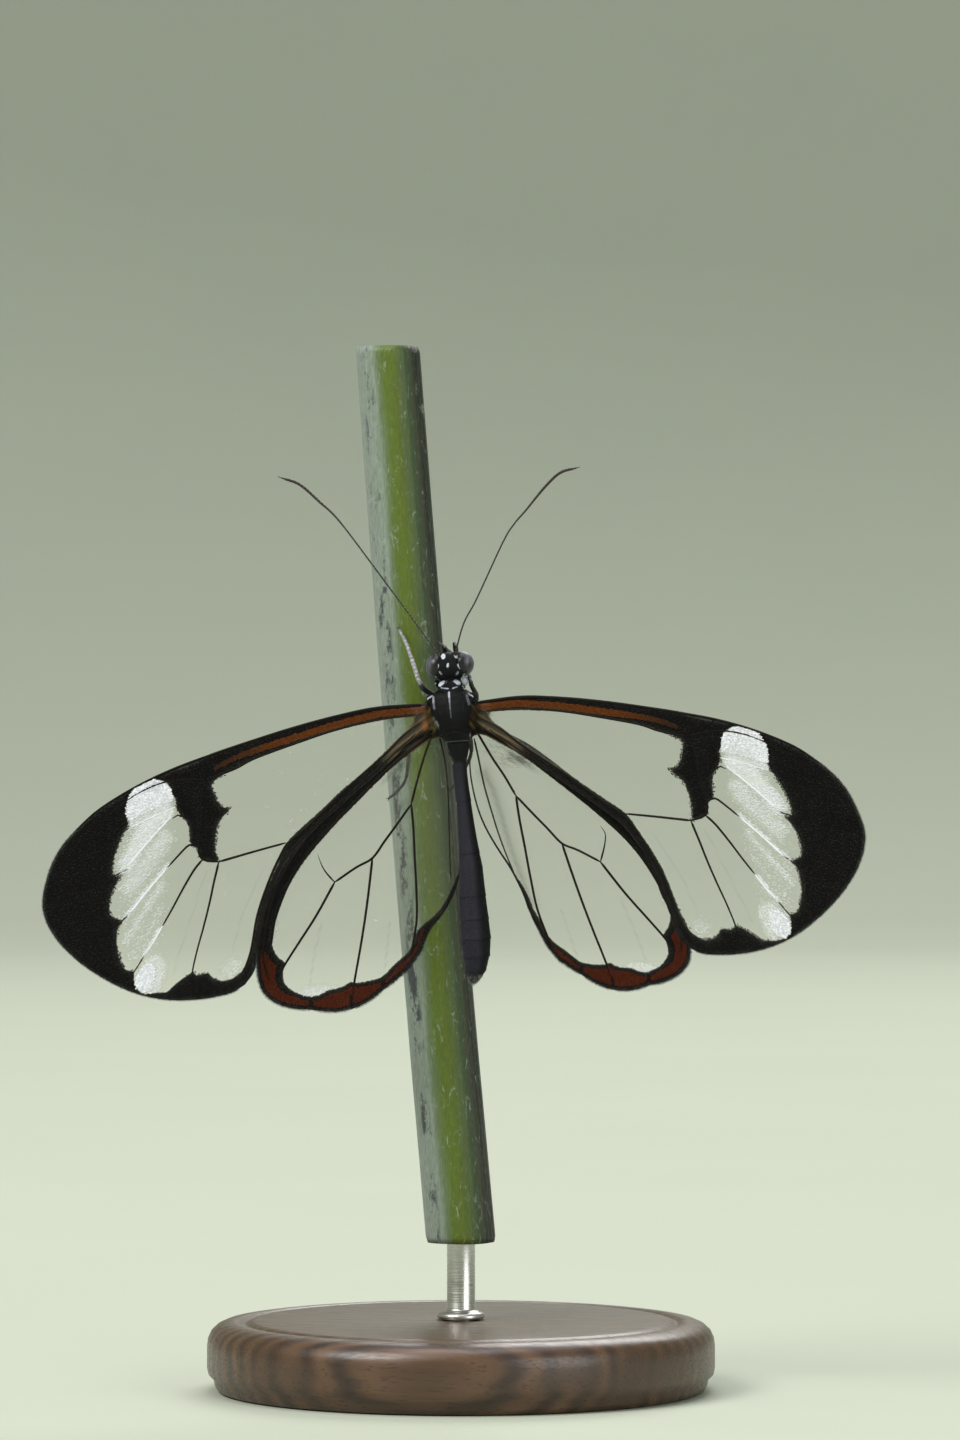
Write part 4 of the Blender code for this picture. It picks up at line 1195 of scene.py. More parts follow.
def wing_scales(name, upper):
    """The scales of one face of a wing, roots first."""
    spots, heading = scale_spots(name, upper)
    marks = markings(name, spots + heading * SCALE_LENGTH * 0.6)
    u, v = spots.T
    fore = name.startswith("fore")
    frayed = smoothly(u, 12.6, 14.0) if fore else smoothly(v, 13.2, 14.5)
    chance = rng.random(len(spots))
    kept = chance < scaled_share(marks, streaks(spots, name) * (0.25 + frayed * (0.75 if fore else 0.2)))
    if not fore:
        kept &= ~((u < 1.2) & (v > 1.2) & (v < 10.5))
    spots, heading, marks = chosen(kept, spots, heading, marks)
    ends = [markings(name, spots + heading * SCALE_LENGTH * part)["window"] for part in (0.0, 0.95)]
    clean = (np.maximum(*ends) < -0.02) | (fore & (frayed[kept] > 0.5)) | (marks["white"] > -0.05)
    spots, heading, marks = chosen(clean, spots, heading, marks)
    heading = heading + rng.normal(0, 0.07, heading.shape)
    u, v = spots.T
    colours = scale_colours(marks, u)
    size = {"width": SCALE_WIDTH, "length": SCALE_LENGTH, "thickness": 0.012, "spread": 0.18, "seed": 7}
    if not upper:
        rusty = (marks["window"] < -0.3) & (marks["white"] < -0.1)
        colours = blend(colours, RUST * 0.55, rusty * 0.6)
        size.update(width=SCALE_WIDTH * 1.35, length=SCALE_LENGTH * 1.3)
    lift = relief(name, spots) + (SHEET_HALF + 0.004) * (1 if upper else -1)
    roots = laid_on(name, spots, heading, lift, rng.uniform(0.1, 0.26, len(spots)))
    if not upper:
        roots["up"] = -roots["up"] if (roots["up"] @ BACK).mean() < 0 else roots["up"]
        flat = roots["lie"] - roots["up"] * (roots["lie"] * roots["up"]).sum(1)[:, None]
        roots["lie"] = flat + roots["up"] * 0.16
    within = np.minimum(-marks["window"], depth_in(spots, wing_loop(name, SCALE_INSET)))
    grow = np.where(marks["white"] > -0.2, 1.0, 0.62 + 0.38 * smoothly(within, 0.12, 0.45))
    uv = patch_uv((u + 2.0) / 31 * 0.97 + 0.012, (v + 1.5) / 42 * 0.95 + (0.012 if upper else 0.512))
    roots.update(grow=grow, tint=tinted(colours), root_uv=uv)
    return coat(f"{name}_scales_{'upper' if upper else 'lower'}", SCALE_COAT, roots, SCALE_FINISH, **size)


for name in WINGS:
    for upper in (True, False):
        place(wing_scales(name, upper), kind_of(name))

# %% [markdown]
# ## The white veil
#
# Between the white patch and the black tip the window isn't quite clear. Thin white scales, each only a
# sliver, cover it loosely and leave it see-through, denser in streaks that run outwards and along the
# pale veins. Real slivers do this better than a smooth tint, because their edges catch the light.

# %% Veil of slivers
VEIL_ROW, VEIL_STEP = 0.09, 0.052


def veil_slivers(name):
    """Thin white scales over the veiled part of one wing."""
    loop = wing_loop(name, 0.3)
    centre = ROW_CENTRE[kind_of(name)]
    spots = arc_rows(centre, np.arange(6.0, 32.0, VEIL_ROW), VEIL_STEP, -0.4)
    spots += rng.normal(0, 0.03, spots.shape)
    spots = spots[depth_in(spots, loop) > 0]
    marks = markings(name, spots)
    share = marks["veil"] * smoothly(marks["window"], 0.0, 0.15) * (0.66 + 3.6 * streaks(spots, name))
    kept = (rng.random(len(spots)) < share) & (marks["white"] < 0)
    spots, strength = spots[kept], marks["veil"][kept]
    heading = unit(spots - centre) + rng.normal(0, 0.1, spots.shape)
    lift = relief(name, spots) + SHEET_HALF + 0.004
    roots = laid_on(name, spots, heading, lift, rng.uniform(0.02, 0.16, len(spots)))
    uv = patch_uv((spots[:, 0] + 2.0) / 32, (spots[:, 1] + 1.5) / 22)
    roots.update(grow=0.75 + 0.6 * strength, tint=tinted(np.tile(WHITE, (len(spots), 1)), 0.12), root_uv=uv)
    size = {"width": 0.03, "length": 0.18, "thickness": 0.008, "spread": 0.3, "seed": 13}
    return coat(name + "_veil", SCALE_COAT, roots, SCALE_FINISH, **size)


for name in WINGS:
    place(veil_slivers(name), kind_of(name))

# %% [markdown]
# ## Fringe
#
# Along its outer edge a wing ends in long hair scales, black on this animal with a few pale tips. They
# follow the margin, so their roots are set along the outline in three layers, pointing outwards, with
# their length falling where the hind wing's edge is notched.

# %% Fringe
FRINGE_STEP, FRINGE_LAYERS = 0.026, (-0.03, 0.0, 0.03)
FRINGE_FROM_U, FRINGE_FROM_V = 14.5, 10.5


def fringe(name):
    """Hair scales along the margin of one wing."""
    fore = name.startswith("fore")
    margin = wing_loop(name, SHEET_INSET)[:-1]
    outer = margin[:, 0] > FRINGE_FROM_U if fore else margin[:, 1] > FRINGE_FROM_V
    dense = spline(margin[outer], FRINGE_STEP)
    ahead = directions(dense)
    outward = -left_of(ahead)
    parts = []
    for lift in FRINGE_LAYERS:
        spots = dense + rng.normal(0, 0.02, dense.shape) - outward * 0.05
        heading = unit(outward + rng.normal(0, 0.1, outward.shape) + ahead * 0.15)
        parts.append((spots, heading, np.full(len(spots), lift)))
    spots, heading, lift = (np.concatenate(column) for column in zip(*parts))
    grow = 0.55 + 0.45 * smoothly(spots[:, 1], 3.5, 9.0) if fore else 0.6 + 0.6 * smoothly(spots[:, 1], 12.0, 15.5)
    if not fore:
        for notch in HIND_NOTCHES:
            grow = grow * (1 - 0.55 * bell(np.linalg.norm(spots - notch, axis=1), 0, 0.28))
    grow = grow * rng.uniform(0.7, 1.05, len(spots))
    roots = laid_on(name, spots, heading, relief(name, spots) + lift + 1e-4, rng.normal(0, 0.08, len(spots)))
    pale = (rng.random(len(spots)) < 0.06)[:, None]
    colours = np.where(pale, WHITE * 0.35, BLACK * 1.3)
    uv = patch_uv((spots[:, 0] + 3) / 32, (spots[:, 1] + 2) / 24)
    roots.update(grow=grow, tint=tinted(colours, 0.4), root_uv=uv)
    size = {"width": 0.024, "length": 0.17 if fore else 0.19, "thickness": 0.02, "spread": 0.1, "seed": 3}
    return coat(name + "_fringe", HAIR_COAT, roots, HAIR_FINISH, **size)


# wing, middle, spread, count, length, colour, heading
ROOT_HAIR = (
    ("hindwing_right", (2.0, 1.75), (0.8, 0.3), 420, 0.42, (0.03, 0.03, 0.028), (0.8, 0.6)),
    ("hindwing_right", (0.6, 0.75), (0.6, 0.25), 160, 0.34, (0.16, 0.16, 0.14), (0.8, 0.6)),
    ("hindwing_left", (1.4, 1.4), (0.7, 0.22), 120, 0.34, (0.04, 0.036, 0.028), (0.8, 0.6)),
    # painted light: the left fore wing's gold root hair is painted brighter than the right one
    ("forewing_left", (0.0, 1.15), (0.4, 0.4), 260, 0.4, GOLD * 0.9, (0.8, 0.5)),
    ("forewing_right", (0.0, 0.95), (0.4, 0.4), 260, 0.4, GOLD * 0.7, (0.8, 0.5)),
)


def root_hair():
    """Loose hair on the upper face of the wings near their roots."""
    parts = []
    for name, middle, spread, count, length, colour, heading in ROOT_HAIR:
        spots = rng.normal(0, 1, (count, 2)) * spread + middle
        away = np.array(heading) + rng.normal(0, 0.22, (count, 2))
        lift = relief(name, spots) + SHEET_HALF
        roots = laid_on(name, spots, unit(away), lift, rng.uniform(0.05, 0.3, count))
        uv = patch_uv(rng.uniform(0.01, 0.98, count), rng.uniform(0.01, 0.98, count))
        long = length * rng.uniform(0.6, 1.2, count)
        roots.update(grow=long, tint=tinted(np.tile(colour, (count, 1)), 0.4), root_uv=uv)
        parts.append(roots)
    size = {"width": 0.02, "length": 1.0, "thickness": 0.014, "spread": 0.1, "seed": 21}
    return coat("wing_root_hair", HAIR_COAT, gathered(parts), HAIR_FINISH, **size)


for name in WINGS:
    place(fringe(name), kind_of(name))
place(root_hair(), "forewing")

# %% [markdown]
# ## One skin for head, thorax and abdomen
#
# The body is one animal, so one skin replaces its three solids and no seam shows. It is a loft: rings
# set closely along the body, each an oval with its own width, rise of the back and drop of the breast,
# read from a short table. Furrows, plates and the steps between the rings of the abdomen are added as
# small radial swells. A loft suits it, because everything on an insect's body runs along or around it.

# %% Body rings
# along, half width, rise of the back, drop of the breast
BODY_TABLE = np.array((
    (4.48, 0.04, 0.04, 0.03), (4.44, 0.34, 0.34, 0.3), (4.3, 0.6, 0.68, 0.54), (4.05, 0.74, 0.88, 0.74),
    (3.75, 0.78, 0.96, 0.88), (3.4, 0.8, 0.99, 0.94), (3.1, 0.9, 0.93, 0.9), (2.92, 1.1, 0.86, 0.84),
    (2.78, 1.16, 0.76, 0.76), (2.68, 0.9, 0.64, 0.66), (2.56, 0.56, 0.56, 0.58), (2.48, 0.6, 0.66, 0.62),
    (2.36, 0.84, 0.84, 0.72), (2.15, 0.94, 0.94, 0.82), (1.98, 0.92, 0.94, 0.9), (1.88, 0.86, 0.9, 0.92),
    (1.8, 0.98, 1.02, 1.04), (1.66, 1.2, 1.22, 1.2), (1.35, 1.48, 1.48, 1.46), (0.85, 1.62, 1.66, 1.68),
    (0.2, 1.58, 1.74, 1.81), (-0.45, 1.36, 1.66, 1.76), (-1.05, 1.14, 1.44, 1.54), (-1.5, 0.98, 1.18, 1.24),
    (-1.74, 0.88, 0.98, 1.02), (-1.84, 0.74, 0.74, 0.8), (-1.95, 0.76, 0.76, 0.8), (-2.2, 0.74, 0.75, 0.76),
    (-2.6, 0.63, 0.67, 0.68), (-3.12, 0.44, 0.5, 0.52), (-3.24, 0.46, 0.52, 0.54), (-3.45, 0.5, 0.54, 0.56),
    (-4.05, 0.49, 0.52, 0.53), (-5.9, 0.5, 0.54, 0.56), (-7.6, 0.57, 0.6, 0.63), (-9.6, 0.69, 0.73, 0.78),
    (-10.6, 0.81, 0.85, 0.9), (-12.65, 0.9, 0.95, 0.99), (-14.25, 0.98, 1.03, 1.07),
    (-15.65, 1.03, 1.08, 1.12), (-16.85, 0.91, 0.96, 1.0), (-17.95, 0.65, 0.7, 0.72), (-18.5, 0.38, 0.4, 0.4),
    (-18.72, 0.16, 0.17, 0.17), (-18.8, 0.04, 0.04, 0.04),
))
# along, how far the middle lies to the right
MIDDLE_TABLE = np.array((
    (4.5, 0.05), (2.6, 0.03), (1.5, 0.0), (-0.5, 0.03), (-1.5, 0.1), (-1.84, 0.17), (-2.05, 0.22),
    (-2.9, 0.26), (-3.2, 0.25), (-3.5, 0.2), (-4.05, 0.19), (-5.2, 0.24), (-6.2, 0.3), (-7.6, 0.35),
    (-9.6, 0.43), (-10.6, 0.46), (-12.65, 0.42), (-15.65, 0.41), (-16.85, 0.35), (-17.95, 0.22), (-18.6, 0.02),
    (-18.85, -0.05),
))
ABDOMEN_FRONT, ABDOMEN_END, ABDOMEN_LIFT = -2.05, -18.85, 0.25
ABDOMEN_JOINTS = np.array((-3.18, -5.93, -9.6, -12.6, -14.25, -15.65, -16.85, -17.85))
BODY_SIDES = 160


def read_table(table, along, column):
    """A column of a table read at places along the body, smoothed over a short stretch."""
    shifts = np.linspace(-0.1, 0.1, 5)
    return np.mean([np.interp(along + d, table[::-1, 0], table[::-1, column]) for d in shifts], axis=0)


def swell(along, turn, half):
    """Small radial changes: furrows of the thorax, collar, and steps of the abdomen."""
    over = np.maximum(0, -np.sin(turn))
    side = np.abs(np.cos(turn))
    out = half * np.cos(turn)
    thorax = smoothly(along, -1.0, -0.7) * (1 - smoothly(along, 1.35, 1.6))
    made = -0.045 * bell(out, 0, 0.055) * over * thorax
    made -= 0.04 * bell(np.abs(out), 0.82 + 0.12 * along, 0.06) * over * thorax
    made -= 0.06 * bell(along + 0.25 * np.abs(out), -1.02, 0.07) * over
    made -= 0.1 * bell(along, -1.84, 0.05) * over
    made += 0.06 * bell(along, 2.2, 0.16) * bell(np.abs(out), 0.45, 0.22) * over
    for height, lean in ((0.9, 0.35), (0.1, 0.25), (-0.7, 0.15)):
        line = along - lean * np.sin(turn)
        made -= 0.07 * bell(line, height, 0.07) * side * smoothly(np.sin(turn), -0.2, 0.3)
    behind = along[..., None] - ABDOMEN_JOINTS
    above = np.where(behind > 0, behind, 9.0).min(-1)
    below = np.where(behind <= 0, -behind, 9.0).min(-1)
    ring = smoothly(-along, 2.2, 2.6)
    made += ring * (0.032 * np.exp(-above / 0.35) - 0.036 * np.exp(-below / 0.12))
    return made - 0.05 * ring * (bell(turn, 0.45, 0.1) + bell(turn, math.pi - 0.45, 0.1))


def body_point(along, turn):
    """World places on the skin. turn is 0 at the right side and half of pi on the breast."""
    half = read_table(BODY_TABLE, along, 1)
    rise, drop = read_table(BODY_TABLE, along, 2), read_table(BODY_TABLE, along, 3)
    more = swell(along, turn, half) * np.clip(half / 0.5, 0, 1)
    share = np.clip((ABDOMEN_FRONT - along) / (ABDOMEN_FRONT - ABDOMEN_END), 0, 1)
    lift = ABDOMEN_LIFT * np.sin(math.pi * share)
    depth = np.where(np.sin(turn) < 0, rise, drop) + more
    square = 2 + 1.4 * smoothly(along, 2.7, 3.1)
    fuller = (np.abs(np.cos(turn)) ** square + np.abs(np.sin(turn)) ** square) ** (-1 / square)
    out = read_table(MIDDLE_TABLE, along, 1) + (half + more) * fuller * np.cos(turn)
    return on_body(np.stack([out, along, depth * fuller * np.sin(turn) - lift], -1))


# %% [markdown]
# ## Markings of the body
#
# The head and thorax are black with small white spots and thin blue-grey lines, and the grey-blue
# blazes on the thorax's sides are painted reflections, brighter on the left. The abdomen's right side
# carries painted shade. Each pale mark is a short stroke: two ends, a half width and a brightness,
# measured sideways and along the body. A distance to the strokes works for the skin and for its scales alike.

# %% Body markings
# out and along at both ends, half width, brightness
BACK_STROKES = (
    (-0.27, 4.21, -0.25, 4.15, 0.15, 1.0), (0.6, 4.16, 0.64, 4.06, 0.085, 0.9),
    (-0.8, 3.42, -0.71, 3.58, 0.105, 1.0), (0.03, 3.46, 0.06, 3.62, 0.07, 0.85),
    (0.88, 3.32, 0.8, 3.48, 0.105, 1.0), (-0.58, 3.12, -0.46, 2.96, 0.05, 0.4),
    (0.58, 2.86, 0.7, 3.0, 0.055, 0.35), (-1.14, 2.86, -1.0, 2.74, 0.1, 1.0),
    (1.02, 2.7, 1.16, 2.84, 0.09, 0.6), (-0.66, 2.22, -0.42, 2.38, 0.125, 1.0),
    (-0.66, 2.22, -0.7, 2.4, 0.06, 0.7), (0.66, 2.22, 0.46, 2.4, 0.115, 0.75),
    (-0.58, 2.0, -0.06, 1.9, 0.045, 0.6), (0.26, 1.9, 0.55, 1.98, 0.05, 0.5),
    (0.95, 2.02, 1.05, 1.85, 0.09, 0.6), (0.02, 1.62, 0.04, 1.3, 0.065, 0.6),
    (0.04, 1.3, 0.06, 0.95, 0.055, 0.38), (0.06, 0.95, 0.08, 0.45, 0.045, 0.22),
    # the strokes on the thorax's sides, from (-1.15, 1.36) and (1.2, 1.32), are painted reflections, brighter on
    # the left
    (0.08, 0.45, 0.09, -0.1, 0.035, 0.13), (-1.15, 1.36, -1.14, 1.02, 0.085, 0.42),
    (-1.14, 1.02, -1.1, 0.6, 0.075, 0.24), (1.2, 1.32, 1.33, 0.72, 0.07, 0.16),
    (-0.68, -1.8, 0.95, -1.8, 0.022, 0.2), (-1.05, -0.35, -0.95, -0.6, 0.08, 0.25),
)
# back and along at both ends, half width, brightness, on both flanks
FLANK_STROKES = (
    (0.35, 1.2, 0.6, 0.75, 0.12, 0.8), (0.95, 0.7, 1.15, 0.25, 0.12, 0.7), (0.7, -0.35, 0.95, -0.7, 0.11, 0.7),
    (0.15, 3.0, 0.45, 2.8, 0.1, 0.8), (0.2, 2.2, 0.45, 2.05, 0.12, 0.7), (-0.1, -1.4, 0.3, -1.6, 0.08, 0.5),
)
BODY_BLACK = np.array((0.0034, 0.0036, 0.0042))
SLATE = np.array((0.0175, 0.0165, 0.0248))
CREAM = np.array((0.3, 0.28, 0.23))
PALE_BLUE = np.array((0.62, 0.65, 0.76))


def body_colours(along, turn, places):
    """The ground colour of the skin at each place, and its distance into the pale strokes with their brightness."""
    local = (places - THORAX_AT) @ BODY_AXES.T
    count = len(along)
    slate = smoothly(-along, 3.1, 3.35) * (0.75 + 0.25 * smoothly(-along, 3.4, 6.0))
    ground = blend(np.tile(BODY_BLACK, (count, 1)), SLATE, slate)
    # painted shade: the abdomen's slate is darkened on its right side
    ground = blend(ground, SLATE * 0.1, slate * smoothly(np.cos(turn), 0.25, 0.75))
    under = smoothly(np.sin(turn), 0.35, 0.6) * smoothly(-along, 2.0, 3.2)
    ground = blend(ground, CREAM, under * 0.85)
    best, shine = np.full(count, -1.0), np.zeros(count)
    on_back, on_flank = np.sin(turn) < 0.05, np.abs(np.cos(turn)) > 0.3
    for strokes, axes, seen in ((BACK_STROKES, (0, 1), on_back), (FLANK_STROKES, (2, 1), on_flank)):
        for out, start, far, end, half, bright in strokes:
            reach = np.where(seen, half - to_line(local[:, axes], np.array(((out, start), (far, end)))), -1.0)
            shine = np.where(reach > best, bright, shine)
            best = np.maximum(best, reach)
    return ground, best, shine


def body_finish():
    """Scaled skin: ground colour, pale strokes and a fine grain."""
    made, tree, shader = new_finish("body_skin", 0.5, Specular_IOR_Level=0.14)
    spot = object_place(tree)
    grain = grained(tree, spot, 9.0)
    pale = times(tree, masked(tree, attribute(tree, "stroke"), spot, 0.03, 0.05, 9.0), attribute(tree, "shine"))
    inputs = {0: attribute(tree, "ground", "Color"), "Scale": grain["Tone"]}
    ground = add_node(tree, "ShaderNodeVectorMath", inputs, operation="SCALE")
    rough = between(tree, grain["Tone"], 0.6, 1.4, 0.44, 0.6)
    normal = bump(tree, grain["Height"], 0.02, 0.4)
    connect(tree, shader, Base_Color=mix(tree, pale, ground, (*PALE_BLUE, 1)), Roughness=rough, Normal=normal)
    return made


def body_skin(finish):
    """The skin of head, thorax and abdomen in one closed mesh."""
    front = np.arange(4.455, -2.4, -0.035)
    rings = np.concatenate([front, np.arange(front[-1] - 0.05, -18.79, -0.085)])
    along, turn = crossed(rings, around(BODY_SIDES))
    points = body_point(along, turn)
    ground, stroke, shine = body_colours(along, turn, points)
    values = {"ground": np.hstack([ground, np.ones((len(ground), 1))]), "stroke": stroke, "shine": shine}
    piece = new_piece("body_skin", points, ring_faces(len(rings), BODY_SIDES), finish, values)
    place(piece, "body_black", "head", "thorax", "abdomen")


BODY_FINISH = body_finish()
body_skin(BODY_FINISH)

# %% [markdown]
# ## Scales and hair on the body
#
# The skin's scales lie flat towards the tail in rows around the body, which is what draws the faint
# cross lines on the abdomen. Longer hair stands where the real animal has it: at the neck, on the
# flanks of the thorax, at the wing roots and as a pale tuft at the abdomen's tip.

# %% Body coat
def body_roots(along, turn, tilt, sweep=0.0):
    """Roots on the skin that lie towards the tail, raised by tilt and turned sideways by sweep."""
    step = 0.02
    here = body_point(along, turn)
    back = unit(body_point(along - step, turn) - here)
    side = unit(body_point(along, turn + step) - here)
    up = unit(np.cross(back, side))
    centre = on_body(np.stack([read_table(MIDDLE_TABLE, along, 1), along, np.zeros(len(along))], 1))
    up *= np.sign((up * (here - centre)).sum(1))[:, None]
    lie = back * np.cos(tilt)[:, None] + up * np.sin(tilt)[:, None] + side * np.asarray(sweep)[..., None]
    uv = patch_uv(0.02 + 0.95 * (turn % (2 * math.pi)) / (2 * math.pi), 0.02 + 0.95 * (4.6 - along) / 23.6)
    return {"places": here - up * 0.01, "lie": lie, "up": up, "root_uv": uv}


def body_spots(start, end, row_step, spacing, scatter):
    """Places along and around the body in rows."""
    alongs, turns = [], []
    for level in np.arange(start, end, -row_step):
        half = read_table(BODY_TABLE, level, 2)
        count = max(6, int(2 * math.pi * half / spacing))
        turn = (np.arange(count) + rng.uniform(0, 1)) * 2 * math.pi / count
        turns.append(turn + rng.normal(0, 0.25 / count, count))
        alongs.append(np.full(count, level) + rng.normal(0, row_step * scatter, count))
    return np.concatenate(alongs), np.concatenate(turns)


def body_scales(name, span, pitch, size, uneven):
    """Flat scales over a stretch of the skin."""
    along, turn = body_spots(*span, *pitch)
    roots = body_roots(along, turn, rng.uniform(0.04, 0.14, len(along)), rng.normal(0, 0.1, len(along)))
    ground, stroke, shine = body_colours(along, turn, roots["places"] + roots["lie"] * size[1] * 0.5)
    pale = shine * smoothly(stroke, -0.03, 0.01)
    roots.update(grow=np.ones(len(along)), tint=tinted(blend(ground, PALE_BLUE, pale), uneven))
    sizes = {"width": size[0], "length": size[1], "thickness": 0.012, "spread": 0.2, "seed": 11}
    return coat(name, SCALE_COAT, roots, BODY_SCALE_FINISH, **sizes)


# centre along, centre turn, spread along, spread turn, count, length, tilt, colour
TUFTS = (
    (2.6, -1.57, 0.08, 2.6, 260, 0.26, 0.9, BODY_BLACK),
    # painted light: the left collar tuft is painted brighter than the right one
    (2.42, -2.1, 0.08, 0.35, 60, 0.2, 0.5, PALE_BLUE * 0.8),
    (2.42, -1.0, 0.08, 0.35, 50, 0.18, 0.5, PALE_BLUE * 0.6),
    (4.2, -1.57, 0.18, 1.2, 120, 0.22, 1.2, BODY_BLACK),
    (1.75, -2.3, 0.1, 0.5, 90, 0.26, 0.35, BODY_BLACK * 1.5),
    (1.75, -0.8, 0.1, 0.5, 90, 0.26, 0.35, BODY_BLACK * 1.5),
    (0.6, 1.57, 1.1, 1.3, 700, 0.7, 0.35, np.array((0.035, 0.03, 0.03))),
    (0.35, -2.95, 0.95, 0.22, 340, 0.62, 0.95, BODY_BLACK * 1.3),
    (0.35, -0.19, 0.95, 0.22, 340, 0.62, 0.95, BODY_BLACK * 1.3),
    # painted light: the left gold tuft is painted brighter than the right one
    (0.05, -2.8, 0.75, 0.18, 110, 0.66, 0.9, GOLD * 1.4),
    (0.05, -0.34, 0.75, 0.18, 90, 0.6, 0.9, GOLD * 0.9),
    (-0.35, -2.6, 0.4, 0.2, 60, 0.24, 0.4, WHITE * 0.35),
    (-1.74, -1.57, 0.04, 1.0, 90, 0.1, 0.3, np.array((0.04, 0.04, 0.045))),
    (-18.35, 0.0, 0.3, 3.1, 380, 0.42, 0.18, np.array((0.2, 0.2, 0.18))),
    (-17.6, 0.0, 0.3, 3.1, 260, 0.26, 0.15, SLATE),
)


def body_hair():
    """Tufts of longer hair, each with its own place, length and colour."""
    parts = []
    for along, turn, high, wide, count, length, tilt, colour in TUFTS:
        roots = body_roots(
            along + rng.uniform(-high, high, count), turn + rng.uniform(-wide, wide, count),
            tilt + rng.normal(0, 0.15, count), rng.normal(0, 0.2, count),
        )
        roots.update(grow=length * rng.uniform(0.7, 1.15, count), tint=tinted(np.tile(colour, (count, 1)), 0.45))
        parts.append(roots)
    size = {"width": 0.026, "length": 1.0, "thickness": 0.02, "spread": 0.1, "seed": 5}
    return coat("body_hair", HAIR_COAT, gathered(parts), HAIR_FINISH, **size)


place(body_scales("thorax_scales", (4.38, -3.1), (0.062, 0.046, 0.35), (0.06, 0.12), 0.16), "body_black")
place(body_scales("abdomen_scales", (-3.15, -18.7), (0.088, 0.066, 0.15), (0.088, 0.155), 0.14), "abdomen_slate")
place(body_hair(), "body_black")

# %% [markdown]
# ## Shoulder lobes
#
# A small movable lobe, the tegula, covers each fore wing's hinge like a shoulder plate, black with a
# white front edge. Beside the collar on the right a pale lobe of the neck shows. Each lobe is an oval
# dome that takes the same finish as the skin, with its own pale strokes and short scales.

# %% Lobes
# place, radii along out, along and back, turn in degrees, stroke as out, along, out, along, half width, brightness
LOBES = {
    "tegula_left": ((-1.34, 1.12, -0.62), (0.34, 0.46, 0.2), -28, (-1.1, 1.56, -1.6, 1.34, 0.035, 0.9)),
    "tegula_right": ((1.38, 1.06, -0.62), (0.34, 0.46, 0.2), 28, (1.24, 1.5, 1.62, 1.26, 0.035, 0.7)),
    "neck_lobe_right": ((1.08, 2.34, -0.25), (0.22, 0.28, 0.26), 15, (1.0, 2.46, 1.16, 2.24, 0.2, 0.62)),
    "neck_lobe_left": ((-0.92, 2.34, -0.1), (0.16, 0.2, 0.24), -15, (-1.0, 2.4, -1.06, 2.34, 0.05, 0.4)),
}


def lobe(name):
    """One oval dome with its strokes and a cover of small scales."""
    at, radii, turned, stroke = LOBES[name]
    rings, sides = 26, 36
    tilt, turn, facing = ball(rings, sides, 0.04)
    angle = math.radians(turned)
    spin = np.array(((math.cos(angle), -math.sin(angle), 0), (math.sin(angle), math.cos(angle), 0), (0, 0, 1)))
    local = (facing * radii) @ spin + at
    ends = np.array((stroke[:2], stroke[2:4]))
    values = {
        "ground": np.tile((*BODY_BLACK, 1), (len(local), 1)), "stroke": stroke[4] - to_line(local[:, :2], ends),
        "shine": np.full(len(local), stroke[5]),
    }
    place(new_piece(name, on_body(local), ring_faces(rings, sides), BODY_FINISH, values), "body_black")
    picks = rng.integers(sides, len(local) - sides, 640)
    up = unit(((facing[picks] / radii) @ spin) @ BODY_AXES)
    lie = -ALONG - up * (up @ -ALONG)[:, None] + up * 0.15
    pale = smoothly(values["stroke"][picks], -0.03, 0.02) * stroke[5]
    colours = blend(np.tile(BODY_BLACK, (len(picks), 1)), PALE_BLUE, pale)
    return {
        "places": on_body(local[picks] + rng.normal(0, 0.01, (len(picks), 3))), "lie": lie, "up": up,
        "grow": rng.uniform(0.8, 1.3, len(picks)), "tint": tinted(colours, 0.25),
        "root_uv": patch_uv(0.02 + 0.95 * turn[picks] / 6.3, 0.02 + 0.95 * tilt[picks] / 3.2),
    }


lobe_roots = gathered([lobe(name) for name in LOBES])
size = {"width": 0.048, "length": 0.085, "thickness": 0.01, "spread": 0.2, "seed": 17}
place(coat("lobe_scales", SCALE_COAT, lobe_roots, BODY_SCALE_FINISH, **size), "body_black")

# %% [markdown]
# ## Eyes
#
# A butterfly's eye is a bulging dome of thousands of lenses. Its colour carries a painted grey-violet
# sheen outside, lighter towards the front and darker towards the head, with a painted dark patch on the
# right eye. The dome is an oval ball, its painted sheen a named value that follows the direction of the
# surface, and the lenses are a fine cell pattern in the normal.

# %% Eyes
EYE_RADII = np.array((0.79, 0.87, 0.8))
EYE_AT = {"right": np.array((0.95, 3.55, 0.1)), "left": np.array((-0.87, 3.52, 0.1))}


def eye_finish():
    """Glossy dark lenses with a band of painted grey-violet reflection in their colour."""
    made, tree, shader = new_finish("eye", 0.34, Specular_IOR_Level=0.35, Coat_Weight=0.12, Coat_Roughness=0.2)
    cells = grained(tree, object_place(tree), 22.0)
    bands = noise(tree, object_place(tree, (3.0, 1.0, 0.7)), 1.6)
    # the painted sheen, broken into bands, lightens the dark colour of the lenses
    sheen = times(tree, attribute(tree, "sheen"), between(tree, bands, 0.35, 0.6, 0.45, 1.0))
    colour = mix(tree, sheen, (0.006, 0.005, 0.008, 1), (0.15, 0.147, 0.185, 1))
    connect(tree, shader, Base_Color=colour, Normal=bump(tree, cells["Height"], 0.006, 0.5))
    return made


